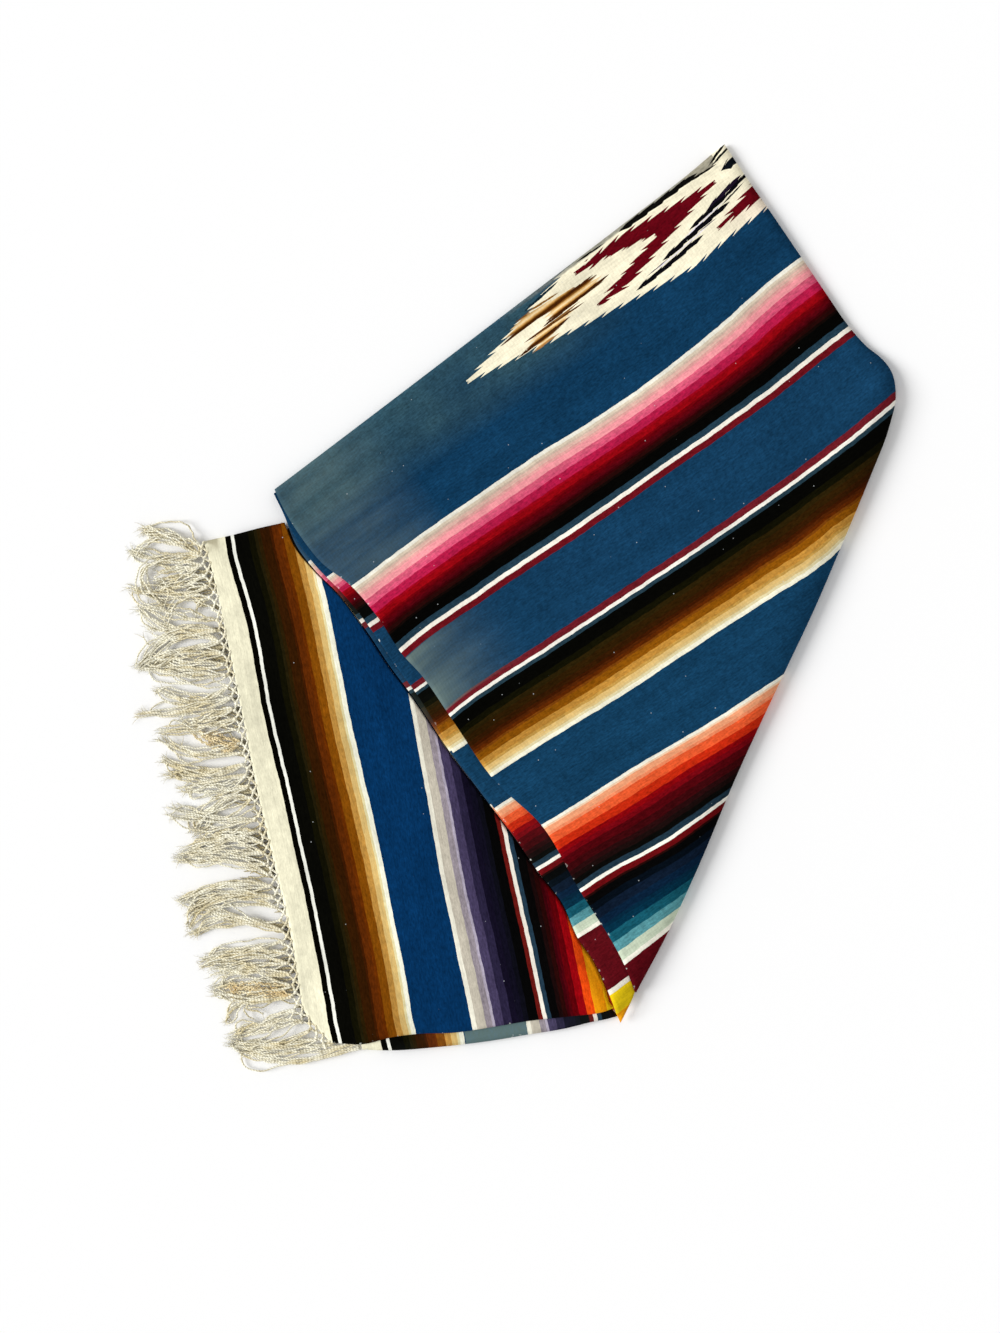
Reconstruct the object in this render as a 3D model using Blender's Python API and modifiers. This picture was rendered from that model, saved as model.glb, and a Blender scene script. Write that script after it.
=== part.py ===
"""A banded serape, folded to four layers and then once across itself, lying flat on a surface.

The upper panel lies over the tail, and the two are joined by a long slanting fold at the right.
The cloth is four layers thick in the tail and eight where the panel lies on it. The two layers
that show on each side are walls of their own. The layers under them share one rounded solid.
Lengths are in metres, unless a name or a table says millimetres.
"""
import math
from typing import Callable, NamedTuple

import bpy
import numpy as np

# ---- Cloth and how high it lies ----------------------------------------------------------
CLOTH = 0.0020  # one layer of the weave
PITCH = 0.0025  # from one layer to the next, with the air between them
LAYERS = 4  # in the folded strip
PACKET = LAYERS * PITCH
SEAM = 0.0004  # clearance between pieces that touch
FLOOR_GAP = 0.0003  # the outer layer's rolled edge stays this far above the floor
EDGE_SHARE = 0.47  # height of a fold's outermost line, as a share of the pile's height

# ---- Rolled folds: how far in from the outline the cloth starts to turn down --------------
TOP_ROLL = 0.009
RIGHT_ROLL = 0.012
SLANT_ROLL = 0.028
TAIL_ROLL = 0.009
UNDER_ROLL = 0.006  # how far the outer layer turns in under the pile
RIGHT_PUFF = 0.0010  # a fold that was never pressed stands this much proud
SLANT_PUFF = 0.0045
SLANT_FROM = 0.300  # the right fold widens into the slanting one between these y
SLANT_TO = 0.200
ROLL_INSET = 1.55  # a lower layer's outline lies further in than its depth by this factor
CORE_INSET = 0.0072  # the hidden layers' outline lies this far inside the face's
CORE_SPARE = 0.0001  # and their top this much lower than the pitch puts it

# ---- The panel's drape off the tail's folded top edge -------------------------------------
DRAPE_OUT = 0.070
DRAPE_IN = 0.012
TAIL_FOLD_POINT = (-0.312, 0.081)
TAIL_FOLD_RUN = (0.980, 0.200)

# ---- Outline of the upper panel, columns x_mm, y_mm ---------------------------------------
TOP_FOLD = ((-266, 132), (-137, 230), (-14, 324), (120, 426), (203, 490), (223, 507), (237, 518))
RIGHT_FOLD = (
    (237, 518), (260, 483), (288, 443), (322, 393), (350, 352),
    (378, 312), (396, 292), (413, 278), (423, 265), (428, 237),
)
SLANT_FOLD = (
    (428, 237), (421, 203), (399, 145), (369, 73), (337, -2), (303, -74),
    (248, -193), (209, -286), (172, -366), (138, -430), (121, -464),
)
FACE_SELVEDGE = (
    (-266, 132), (-253, 106), (-234, 76), (-214, 51), (-179, 23), (-150, -11), (-123, -52),
    (-102, -75), (-68, -124), (-20, -193), (34, -245), (71, -309), (124, -397), (138, -430),
)
SECOND_SELVEDGE = (
    (-268, 130), (-254, 102), (-239, 72), (-219, 46), (-189, 15), (-158, -24), (-132, -63),
    (-108, -95), (-67, -161), (-36, -203), (-3, -248), (25, -290), (56, -331), (73, -369),
    (89, -392), (106, -427), (121, -464),
)
CORE_SELVEDGE = (
    (-261, 119), (-253, 101), (-240, 69), (-220, 43), (-190, 13), (-161, -27), (-136, -65),
    (-111, -98), (-67, -163), (-35, -205), (-2, -249), (27, -290), (58, -331), (75, -368),
    (91, -391), (106, -424), (117, -446),
)

# ---- Outline of the tail, columns x_mm, y_mm ----------------------------------------------
TAIL_FOLD = ((-345, 74), (-312, 81), (-280, 89), (-252, 95))
TAIL_END = (
    (-345, 74), (-339, 54), (-320, -30), (-301, -124), (-286, -200), (-268, -279),
    (-246, -375), (-238, -425), (-233, -450), (-222, -465), (-203, -486),
)
FACE_HEM = (
    (-203, -486), (-191, -487), (-169, -488), (-135, -480), (-103, -476), (-67, -475),
    (-19, -468), (16, -462), (61, -457), (108, -448),
)
SECOND_END = (
    (-287, 86), (-281, 66), (-263, -30), (-245, -124), (-230, -200), (-212, -279),
    (-190, -375), (-178, -440), (-168, -494),
)
SECOND_HEM = (
    (-168, -494), (-135, -495), (-92, -492), (-16, -483), (19, -477), (61, -470),
    (85, -463), (112, -457),
)
CORE_HEM = (
    (-207, -481), (-190, -484), (-135, -491), (-92, -488), (-16, -479), (19, -473), (61, -466),
    (95, -459), (120, -447),
)
END_DROOP = 0.0005  # the face lies this much lower at its fringed end
DROOP_LENGTH = 0.060
BESIDE_CORE = 0.0022  # the tail's layers stop this far from the panel's hidden layers
TAIL_CORE_INSET = 0.009  # the tail's hidden layers lie this far inside its fold
# Where the tail's hidden layers end, under the panel, columns x_mm, y_mm
TAIL_CORE_RIGHT = ((-222, 88), (-170, 30), (-110, -40), (-20, -165), (60, -295), (98, -370), (120, -447))
# Side of the tail's hidden layers, columns inset, height.
TAIL_CORE_SIDE = (
    (0.0045, 0.0043), (0.0020, 0.0040), (0.0006, 0.0032), (0.0028, 0.0024),
    (0.0000, 0.0015), (0.0008, 0.0006), (0.0030, 0.0000),
)

# ---- Fringe -------------------------------------------------------------------------------
NET_ROWS = (SEAM, 0.0024, 0.0084, 0.0109)  # inner rail, openings, outer rail
NET_CELLS = 44
POST = 0.18  # width of the net's posts, as a share of a cell
HEADER_SHARE = 0.9  # a header's thickness, as a share of the cloth's
LOCK = 0.0018  # a lock of the second layer's fringe where it leaves its header
LOCK_REACH = 0.35  # how far a lock leaves square, as a share of its length
UPPER_STEPS = (0.36, 0.70, 1.0)  # shares of a lock's length at which its path is set
UNDER_STEPS = (0.28, 0.60, 0.82, 1.0)
TIP_SHARE = 0.65  # a tip's thickness, as a share of that at the root
TIP_HEIGHT = 0.0014
FRINGE_SLOPE = 0.05  # fall of the net, outwards
STRIP_ROWS = (0.0014, 0.008)  # the second layer's plain header
STRIP_FROM = 0.03  # it starts this share of the end below the fold
UNDER_LEVEL = 0.0058  # height of the second layer's locks under the face
LEVEL_TO = 0.60  # share of their length that lies level
BUNDLE_LEVEL_TO = 0.16  # the same for the bundle that leaves past the cloth's corner
BUNDLE_FROM = 550  # mm along the end

# Locks of the face's fringe. Columns: first and last root along the end (mm from the fold),
# tip x_mm, tip y_mm, spread of the tips in mm, bow of the clump's middle in mm.
FACE_CLUMPS = (
    (0, 17, -423, 91, 14, 0),
    (17, 39, -434, 61, 8, 0),
    (39, 74, -406, 11, 22, 0),
    (74, 107, -395, -17, 10, 0),
    (107, 180, -414, -61, 25, 0),
    (180, 245, -404, -109, 38, 0),
    (245, 297, -384, -188, 30, 0),
    (297, 312, -391, -222, 6, 0),
    (312, 375, -372, -279, 20, 0),
    (375, 410, -369, -326, 12, 0),
    (410, 440, -365, -365, 10, 0),
    (440, 490, -346, -396, 17, 0),
    (490, 520, -333, -432, 14, 0),
    (520, 600, -312, -470, 18, 0),
)
# Locks of the second layer's fringe, the same columns, roots in mm along that layer's end.
SECOND_CLUMPS = (
    (25, 75, -368, 30, 12, 0),
    (110, 160, -352, -60, 12, 0),
    (190, 240, -338, -118, 12, 0),
    (255, 300, -324, -196, 10, 0),
    (330, 370, -308, -275, 10, 0),
    (410, 450, -292, -360, 10, 0),
    (500, 530, -280, -425, 8, 0),
    (572, 592, -300, -511, 9, 11),
)
SECOND_LOCKS = 5  # in each clump

# ---- Finishes: colour and roughness -------------------------------------------------------
FINISHES = {
    "blue_ground": ((0.010, 0.048, 0.110), 0.85),
    "banded_cloth": ((0.095, 0.030, 0.022), 0.88),
    "dark_band": ((0.030, 0.012, 0.006), 0.88),
    "inner_layers": ((0.020, 0.055, 0.090), 0.92),
    "cream_yarn": ((0.720, 0.630, 0.440), 0.90),
}


# ---- Lines in the plan ----------------------------------------------------------------------
def at_shares(line, shares):
    """Points of a line at these shares of its length."""
    run = np.concatenate([[0.0], np.cumsum(np.linalg.norm(np.diff(line, axis=0), axis=1))])
    return np.stack([np.interp(np.asarray(shares) * run[-1], run, line[:, k]) for k in (0, 1)], 1)


def smooth_line(rows_mm, count=200):
    """An evenly stepped curve through the rows' points: a Hermite curve on their chords."""
    points = np.array(rows_mm, float) / 1000
    knots = np.concatenate([[0.0], np.cumsum(np.linalg.norm(np.diff(points, axis=0), axis=1))])
    slopes = np.gradient(points, knots, axis=0)
    fine = []
    for i in range(len(points) - 1):
        u = np.linspace(0, 1, 12, endpoint=False)[:, None]
        width = knots[i + 1] - knots[i]
        fine.append(
            (2 * u**3 - 3 * u**2 + 1) * points[i]
            + (u**3 - 2 * u**2 + u) * width * slopes[i]
            + (3 * u**2 - 2 * u**3) * points[i + 1]
            + (u**3 - u**2) * width * slopes[i + 1]
        )
    return at_shares(np.vstack(fine + [points[-1:]]), np.linspace(0, 1, count))


def left_normals(line):
    """Vectors to the left of a line's run, mitred so that an offset keeps its distance."""
    runs = np.diff(line, axis=0)
    runs /= np.linalg.norm(runs, axis=1)[:, None]
    sides = np.stack([-runs[:, 1], runs[:, 0]], 1)
    both = np.vstack([sides[:1], sides]) + np.vstack([sides, sides[-1:]])
    return both / np.maximum((both * both).sum(1) / 2, 0.5)[:, None]


def nearest(points, line):
    """Distance from each point to a line, and the index of the line's nearest segment."""
    start, run = line[:-1], np.diff(line, axis=0)
    away = points[:, None, :] - start[None]
    share = np.clip((away * run).sum(2) / (run * run).sum(1), 0, 1)
    gaps = np.linalg.norm(away - share[..., None] * run, axis=2)
    return gaps.min(1), gaps.argmin(1)


def soft_step(x):
    x = np.clip(x, 0, 1)
    return x * x * (3 - 2 * x)


# ---- Folds: each is a line that the cloth lies to the right of, and its roll's width --------
TOP_LINE = smooth_line(TOP_FOLD)
SIDE_LINE = smooth_line(RIGHT_FOLD + SLANT_FOLD[1:], 360)
SIDE_BLEND = soft_step((SLANT_FROM - SIDE_LINE[:, 1]) / (SLANT_FROM - SLANT_TO))
SIDE_ROLL = RIGHT_ROLL + (SLANT_ROLL - RIGHT_ROLL) * SIDE_BLEND
SIDE_PUFF = RIGHT_PUFF + (SLANT_PUFF - RIGHT_PUFF) * SIDE_BLEND
PANEL_FOLDS = ((TOP_LINE, np.full(len(TOP_LINE), TOP_ROLL)), (SIDE_LINE, SIDE_ROLL))
TAIL_LINE = smooth_line(TAIL_FOLD)
TAIL_FOLDS = ((TAIL_LINE, np.full(len(TAIL_LINE), TAIL_ROLL)),)
END_LINE = smooth_line(TAIL_END)


def drawn_in(points, folds, inset):
    """The points moved in from each fold: its outline by the inset, its roll's start not at all."""
    moved = points.copy()
    for line, widths in folds:
        gap, i = nearest(points, line)
        share = np.clip(1 - gap / widths[i], 0, 1)
        moved -= left_normals(line)[i] * (inset * share)[:, None]
    return moved


def rolled(points, folds, inset):
    """1 inside a fold's roll and 0 on the outline of the layer that lies this far in.

    The turn is a quarter of an ellipse. Where two folds meet, the nearer one leads.
    """
    turned = 0
    for line, widths in folds:
        gap, i = nearest(points, line)
        turned = turned + np.clip(1 - (gap - inset) / (widths[i] - inset), 0, 1) ** 6
    return np.sqrt(1 - np.clip(turned ** (1 / 6), 0, 1) ** 2)


# ---- Heights --------------------------------------------------------------------------------
def lying_on(points):
    """Height of what the panel lies on: the floor, and past the tail's folded edge the tail."""
    run = np.array(TAIL_FOLD_RUN) / math.hypot(*TAIL_FOLD_RUN)
    inward = (points - np.array(TAIL_FOLD_POINT)) @ np.array([run[1], -run[0]])
    return (PACKET + SEAM) * soft_step((inward + DRAPE_OUT) / (DRAPE_OUT + DRAPE_IN))


def panel_top(points):
    """Height of the panel's upper surface, without its rolled edges."""
    gap, i = nearest(points, SIDE_LINE)
    past_roll = (gap - SIDE_ROLL[i]) / SIDE_ROLL[i]
    puff = SIDE_PUFF[i] * np.exp(-(past_roll**2))
    swell = np.sin(21 * points[:, 0] + 9 * points[:, 1] + 0.8)
    swell *= 0.0006 * np.sin(17 * points[:, 1] - 8 * points[:, 0])
    return lying_on(points) + PACKET + puff + swell


def panel_height(points, depth):
    """Height of the layer of the panel that lies this deep under its face."""
    top = panel_top(points)
    edge = EDGE_SHARE * top
    return edge + (top - depth - edge) * rolled(points, PANEL_FOLDS, ROLL_INSET * depth)


def tail_height(points, depth):
    """Height of the layer of the tail that lies this deep under its face."""
    near_end = 1 - soft_step(nearest(points, END_LINE)[0] / DROOP_LENGTH)
    top = PACKET - END_DROOP * near_end
    edge = EDGE_SHARE * PACKET
    return edge + (top - depth - edge) * rolled(points, TAIL_FOLDS, ROLL_INSET * depth)


# ---- Surfaces -------------------------------------------------------------------------------
def graded(inner, first_roll, last_roll):
    """Shares from 0 to 1: even in the middle, closer over a roll of that share at each end."""
    bend = 1 - np.cos(np.radians([0, 27, 50, 72]))
    start = first_roll * bend if first_roll else np.empty(0)
    end = 1 - last_roll * bend[::-1] if last_roll else np.empty(0)
    return np.concatenate([start, np.linspace(first_roll, 1 - last_roll, inner), end])


def patch(top, bottom, left, right, across, down):
    """Coons patch between four lines: rows run from top to bottom, columns from left to right."""
    t, b = at_shares(top, across)[None], at_shares(bottom, across)[None]
    l, r = at_shares(left, down)[:, None], at_shares(right, down)[:, None]
    u, v = across[None, :, None], down[:, None, None]
    upper = (1 - u) * top[0] + u * top[-1]
    lower = (1 - u) * bottom[0] + u * bottom[-1]
    return (1 - v) * t + v * b + (1 - u) * l + u * r - (1 - v) * upper - v * lower


def raised(plan, height):
    """The points of a plan, of any shape, with their heights."""
    flat = plan.reshape(-1, 2)
    return np.column_stack([flat, height(flat)]).reshape(*plan.shape[:-1], 3)


def grid_faces(rows, columns):
    """Triangles of a grid of points, facing up and split the same way in every layer."""
    faces = []
    for i in range(rows - 1):
        for j in range(columns - 1):
            a, b = i * columns + j, (i + 1) * columns + j
            faces += [(a, b, b + 1), (a, b + 1, a + 1)]
    return faces


def add_rows(verts, faces, start, rows, closed):
    """Hangs rows of points from a run of the mesh's vertices, with quads between them."""
    previous = list(start)
    for row in rows:
        made = list(range(len(verts), len(verts) + len(row)))
        verts.extend(row)
        for i in range(len(row) if closed else len(row) - 1):
            j = (i + 1) % len(row)
            faces.append((previous[i], previous[j], made[j]))
            faces.append((previous[i], made[j], made[i]))
        previous = made
    return previous


def piece(name, verts, faces, finish_name):
    """Makes the mesh and its object, with its finish, in the serape's collection."""
    mesh = bpy.data.meshes.new(name)
    mesh.from_pydata([tuple(v) for v in verts], [], faces)
    mesh.shade_smooth()
    mesh.set_sharp_from_angle(angle=math.radians(50))
    material = bpy.data.materials.get(finish_name) or bpy.data.materials.new(finish_name)
    material.use_nodes = True
    colour, roughness = FINISHES[finish_name]
    shader = material.node_tree.nodes["Principled BSDF"]
    shader.inputs["Base Color"].default_value = (*colour, 1)
    shader.inputs["Roughness"].default_value = roughness
    shader.inputs["Metallic"].default_value = 0.0
    mesh.materials.append(material)
    made = bpy.data.objects.new(name, mesh)
    serape.objects.link(made)
    return made


def thicken(cloth):
    """Gives a sheet its wall, on its inner side."""
    wall = cloth.modifiers.new("wall", "SOLIDIFY")
    wall.thickness = CLOTH
    wall.offset = -1


def turned_under(border, folds, height):
    """Rows of points that carry a fold's outline down and in under the pile."""
    rows = []
    edge = height(border)
    for angle in np.radians((35, 65, 90)):
        inward = drawn_in(border, folds, UNDER_ROLL * (1 - math.cos(angle)))
        rows.append(np.column_stack([inward, FLOOR_GAP + (edge - FLOOR_GAP) * (1 - math.sin(angle))]))
    return rows


# ---- The panel ------------------------------------------------------------------------------
PANEL_ACROSS = graded(14, 0, 0.024)
PANEL_DOWN = graded(14, 0.024, 0.085)


def panel_plan():
    """Plan of the panel's face, between its two long folds, its selvedge and the slanting fold."""
    corner = int(np.abs(SIDE_LINE - np.array(RIGHT_FOLD[-1]) / 1000).sum(1).argmin())
    tip = int(np.abs(SIDE_LINE - np.array(FACE_SELVEDGE[-1]) / 1000).sum(1).argmin())
    right, slant = SIDE_LINE[: corner + 1], SIDE_LINE[corner : tip + 1][::-1]
    selvedge = smooth_line(FACE_SELVEDGE)
    return patch(TOP_LINE, slant, selvedge, right, PANEL_ACROSS, PANEL_DOWN)


def with_selvedge(plan, selvedge_mm):
    """The panel's plan, carried out to a lower layer's own selvedge."""
    column = at_shares(smooth_line(selvedge_mm), PANEL_DOWN)
    return np.concatenate([column[:, None], plan], axis=1)


def border_of(rows, columns):
    """Indices of the grid's top, right and bottom border, in order round the folds."""
    index = np.arange(rows * columns).reshape(rows, columns)
    return np.concatenate([index[0, :-1], index[:-1, -1], index[-1, ::-1]])


def build_panel_face():
    plan = panel_plan()
    rows, columns = plan.shape[:2]
    verts = list(raised(plan, lambda p: panel_height(p, 0.0)).reshape(-1, 3))
    faces = grid_faces(rows, columns)
    border = border_of(rows, columns)
    under = turned_under(plan.reshape(-1, 2)[border], PANEL_FOLDS, lambda p: panel_height(p, 0.0))
    add_rows(verts, faces, border, under, closed=False)
    thicken(piece("panel_face", verts, faces, "blue_ground"))


def build_panel_second():
    plan = with_selvedge(panel_plan(), SECOND_SELVEDGE)
    rows, columns = plan.shape[:2]
    plan = drawn_in(plan.reshape(-1, 2), PANEL_FOLDS, ROLL_INSET * PITCH).reshape(rows, columns, 2)
    verts = list(raised(plan, lambda p: panel_height(p, PITCH)).reshape(-1, 3))
    faces = grid_faces(rows, columns)
    tip = (rows - 1) * columns
    foot = verts[tip].copy()
    foot[2] = SEAM
    verts.append(foot)
    faces.append((tip + 1, tip, len(verts) - 1))
    thicken(piece("panel_second", verts, faces, "banded_cloth"))


def build_core():
    """The hidden layers, as one solid: the panel's share down to the floor, and the tail's."""
    plan = with_selvedge(panel_plan(), CORE_SELVEDGE)
    rows, columns = plan.shape[:2]

    def height(points):
        top = panel_top(points) - 2 * PITCH - CORE_SPARE
        return top / 2 * (1 + rolled(points, PANEL_FOLDS, CORE_INSET))

    inner = drawn_in(plan.reshape(-1, 2), PANEL_FOLDS, CORE_INSET).reshape(rows, columns, 2)
    inner[:, 0] = plan[:, 0]
    grid = raised(inner, height)
    grid[:, 0, 2] = np.minimum(grid[:, 0, 2], grid[:, 1, 2])
    index = np.arange(rows * columns).reshape(rows, columns)
    ring = np.concatenate([border_of(rows, columns), index[-2:0:-1, 0]])
    hangs = np.isin(ring, index[:, 0])
    outline = plan.reshape(-1, 2)[ring]
    top = grid.reshape(-1, 3)[ring]
    closed = np.vstack([outline[-1:], outline, outline[:1]])
    outward = left_normals(closed)[1:-1]
    base = lying_on(outline)
    under = []
    # Columns: how far in a folded side is, its height as a share, how far out a selvedge is,
    # and its height over what the panel lies on, in layers.
    for inset, share, outset, level in (
        (0.0006, 0.66, 0.0010, 1.75),
        (0.0020, 0.36, 0.0012, 1.15),
        (0.0030, 0.22, -0.0012, 0.98),
        (0.0038, 0.12, 0.0016, 0.80),
        (0.0045, 0.06, 0.0014, 0.12),
        (0.0052, 0.00, 0.0004, 0.00),
    ):
        row = drawn_in(outline, PANEL_FOLDS, CORE_INSET + inset)
        row = np.where(hangs[:, None], outline + outward * outset, row)
        z = np.where(hangs, base + level * PITCH, top[:, 2] * share)
        if share == 0:
            z = np.zeros(len(row))
        under.append(np.column_stack([row, z]))
    verts, faces = list(grid.reshape(-1, 3)), grid_faces(rows, columns)
    faces.append(tuple(add_rows(verts, faces, ring, under, closed=True)))
    return piece("folded_layers", verts, faces, "inner_layers")


# ---- The tail -------------------------------------------------------------------------------
TAIL_ACROSS = graded(9, 0, 0)
TAIL_ROLL_ROWS = (0.0, 0.0010, 0.0032, 0.0062, 0.0090)  # rows of points over the tail's fold


def beside_core(outward):
    """The line this far outside the panel's hidden layers, from the tail's fold down."""
    line = at_shares(smooth_line(CORE_SELVEDGE), PANEL_DOWN)
    line = line - left_normals(line) * outward
    fine = at_shares(line, np.linspace(0, 1, 1500))
    start = fine[fine[:, 1] < np.interp(fine[:, 0], *TAIL_LINE.T)][0]
    return np.vstack([start, line[line[:, 1] < start[1] - 2 * TAIL_ROLL]])


def tail_plan(end_mm, hem_mm):
    """Plan of a layer of the tail, from its fringed end to where the panel covers it.

    Its rows end where the rows of the hidden layers do, so that the gap between them is even.
    """
    end, hem, right = smooth_line(end_mm), smooth_line(hem_mm), beside_core(BESIDE_CORE)
    right = np.vstack([right[right[:, 1] > hem[-1, 1] + 0.004], hem[-1:]])
    fold = TAIL_LINE[(TAIL_LINE[:, 0] > end[0, 0] + 0.002) & (TAIL_LINE[:, 0] < right[0, 0] - 0.002)]
    fold = np.vstack([end[:1], fold, right[:1]])
    run = np.concatenate([[0.0], np.cumsum(np.linalg.norm(np.diff(right, axis=0), axis=1))])
    down = np.unique(np.concatenate([TAIL_ROLL_ROWS, run])) / run[-1]
    return patch(fold, hem, end, right, TAIL_ACROSS, down)


def build_tail():
    plan = tail_plan(TAIL_END, FACE_HEM)
    rows, columns = plan.shape[:2]
    verts = list(raised(plan, lambda p: tail_height(p, 0.0)).reshape(-1, 3))
    faces = grid_faces(rows, columns)
    under = turned_under(plan[0], TAIL_FOLDS, lambda p: tail_height(p, 0.0))
    add_rows(verts, faces, range(columns), under, closed=False)
    thicken(piece("tail_face", verts, faces, "dark_band"))

    plan = tail_plan(SECOND_END, SECOND_HEM)
    rows, columns = plan.shape[:2]
    plan = drawn_in(plan.reshape(-1, 2), TAIL_FOLDS, ROLL_INSET * PITCH).reshape(rows, columns, 2)
    verts = raised(plan, lambda p: tail_height(p, PITCH)).reshape(-1, 3)
    thicken(piece("tail_second", verts, grid_faces(rows, columns), "banded_cloth"))


def join_tail_core(core):
    """Joins the tail's share of the hidden layers to the panel's share."""
    fold = TAIL_LINE - np.array([0.0, TAIL_CORE_INSET])
    end = smooth_line(TAIL_END, 60)
    sides = (
        at_shares(smooth_line(TAIL_CORE_RIGHT)[::-1], np.linspace(0, 1, 8)),
        at_shares(fold[(fold[:, 0] > end[0, 0] + 0.006)][::-1], np.linspace(0, 1, 6)),
        at_shares(end[end[:, 1] < fold[0, 1] - 0.002], np.linspace(0, 1, 22)),
        at_shares(smooth_line(CORE_HEM), np.linspace(0, 1, 14)),
    )
    ring = np.vstack([side[:-1] for side in sides])[::-1]
    outward = left_normals(np.vstack([ring[-1:], ring, ring[:1]]))[1:-1]
    rows = [np.column_stack([ring - outward * inset, np.full(len(ring), z)]) for inset, z in TAIL_CORE_SIDE]
    verts, faces = list(rows[0]), [tuple(range(len(ring)))[::-1]]
    faces.append(tuple(add_rows(verts, faces, range(len(ring)), rows[1:], closed=True)))
    share = piece("tail_layers", verts, faces, "inner_layers")
    serape.objects.unlink(share)
    hidden_shapes.objects.link(share)
    share.hide_render = True
    share.display_type = "WIRE"
    join = core.modifiers.new("join", "BOOLEAN")
    join.operation = "UNION"
    join.solver = "EXACT"
    join.object = share


# ---- Fringe ---------------------------------------------------------------------------------
class Fringe(NamedTuple):
    """A header strip outside a line of the cloth, with the locks that leave its outer edge."""

    name: str
    line: np.ndarray
    stations: list  # columns of the header, as shares along the line
    rails: tuple  # rows of the header, as distances outside the line
    posts: range  # columns that are kept between the second and third rails
    roots: range  # columns that a lock leaves from
    height: Callable
    steps: tuple
    clumps: tuple


def length_of(line):
    return np.linalg.norm(np.diff(line, axis=0), axis=1).sum()


def build_fringed(fringe):
    """The header as a plate with its openings, then the locks, each from one of its side faces."""
    columns = len(fringe.stations)
    count = len(fringe.rails) * columns
    foot = at_shares(fringe.line, fringe.stations)
    index = np.rint(np.array(fringe.stations) * (len(fringe.line) - 1)).astype(int)
    outward = -left_normals(fringe.line)[index]
    verts = []
    for side in (CLOTH / 2, -CLOTH / 2):
        for rail in fringe.rails:
            z = fringe.height(0.0, 0.0) - FRINGE_SLOPE * rail + side * HEADER_SHARE
            verts.extend(np.column_stack([foot + outward * rail, np.full(columns, z)]))
    top = []
    for r in range(len(fringe.rails) - 1):
        for k in range(columns - 1):
            if r != 1 or k in fringe.posts:
                a, b = r * columns + k, (r + 1) * columns + k
                top.append((a, b, b + 1, a + 1))
    faces = top + [tuple(i + count for i in face[::-1]) for face in top]
    edges = {(face[i - 1], face[i]) for face in top for i in range(4)}
    outer = (len(fringe.rails) - 1) * columns
    for a, b in sorted(edges):
        if (b, a) in edges:
            continue
        ring = (b, a, a + count, b + count)
        if b == a + 1 and a - outer in fringe.roots:
            k = a - outer
            rows = lock(fringe, sum(fringe.stations[k : k + 2]) / 2, foot[k : k + 2], outward[k])
            faces.append(tuple(add_rows(verts, faces, ring, rows, closed=True)))
        else:
            faces.append(ring)
    return piece(fringe.name, verts, faces, "cream_yarn")


def lock(fringe, share, feet, outward):
    """Rows of four points along a lock: a quadratic curve that leaves square to the header."""
    length = length_of(fringe.line)
    along = share * length * 1000
    first, last, x, y, spread, bow = next(c for c in fringe.clumps if c[0] <= along <= c[1])
    root = feet.mean(axis=0) + outward * fringe.rails[-1]
    tip = np.array([x, y]) / 1000
    middle = at_shares(fringe.line, [(first + last) / 2000 / length])[0]
    aim = (tip - middle) / np.linalg.norm(tip - middle)
    across = np.array([-aim[1], aim[0]]) / 1000
    tip = tip + across * spread * ((along - first) / (last - first) - 0.5)
    control = root + outward * LOCK_REACH * np.linalg.norm(tip - root) * (outward @ aim) ** 2
    width = np.linalg.norm(feet[1] - feet[0])
    rows = []
    for s in fringe.steps:
        centre = (1 - s) ** 2 * root + 2 * s * (1 - s) * control + s * s * tip
        centre = centre + across * bow * 4 * s * (1 - s)
        run = (1 - s) * (control - root) + s * (tip - control)
        side = np.array([run[1], -run[0]]) / np.linalg.norm(run)
        half = (1 - (1 - TIP_SHARE) * s) / 2 * np.array([width, CLOTH])
        z = fringe.height(s, along)
        corners = ((-1, 1), (1, 1), (1, -1), (-1, -1))
        rows.append([(*(centre + side * half[0] * i), z + half[1] * j) for i, j in corners])
    return rows


def upper_height(share, _along):
    """Height of the face's fringe along its locks."""
    root = PACKET - END_DROOP - CLOTH / 2
    if share == 0:
        return root
    return TIP_HEIGHT + (root - 0.0006 - TIP_HEIGHT) * (1 - share) ** 1.3


def under_height(share, along):
    """Height of the second layer's fringe: level under the face, then down to the floor."""
    if share == 0:
        return PACKET - PITCH - CLOTH / 2
    level = LEVEL_TO if along < BUNDLE_FROM else BUNDLE_LEVEL_TO
    return TIP_HEIGHT + (UNDER_LEVEL - TIP_HEIGHT) * min(1, (1 - share) / (1 - level))


def build_fringe_upper():
    """The face's fringe: a net of one row of openings, and a lock at each post and between."""
    columns = []
    for c in range(NET_CELLS):
        columns += [max(c - POST / 2, 0), max(c + POST / 2, POST), c + 0.5 - POST / 2, c + 0.5 + POST / 2]
    columns += [NET_CELLS - POST, NET_CELLS]
    stations = [c / NET_CELLS for c in columns]
    posts, roots = range(0, len(stations), 4), range(0, len(stations), 2)
    line = smooth_line(TAIL_END, 600)
    path = (upper_height, UPPER_STEPS, FACE_CLUMPS)
    build_fringed(Fringe("fringe_upper", line, stations, NET_ROWS, posts, roots, *path))


def build_fringe_under():
    """The second layer's fringe: a plain header, and a few locks in each clump."""
    line = smooth_line(SECOND_END, 600)
    length = length_of(line)
    stations = [STRIP_FROM]
    for first, last, *_ in SECOND_CLUMPS:
        for middle in np.linspace(first + 1, last - 1, SECOND_LOCKS) / 1000:
            stations += [(middle - LOCK / 2) / length, (middle + LOCK / 2) / length]
    stations.append(1.0)
    roots = range(1, len(stations) - 1, 2)
    path = (under_height, UNDER_STEPS, SECOND_CLUMPS)
    build_fringed(Fringe("fringe_under", line, stations, STRIP_ROWS, range(0), roots, *path))


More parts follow.
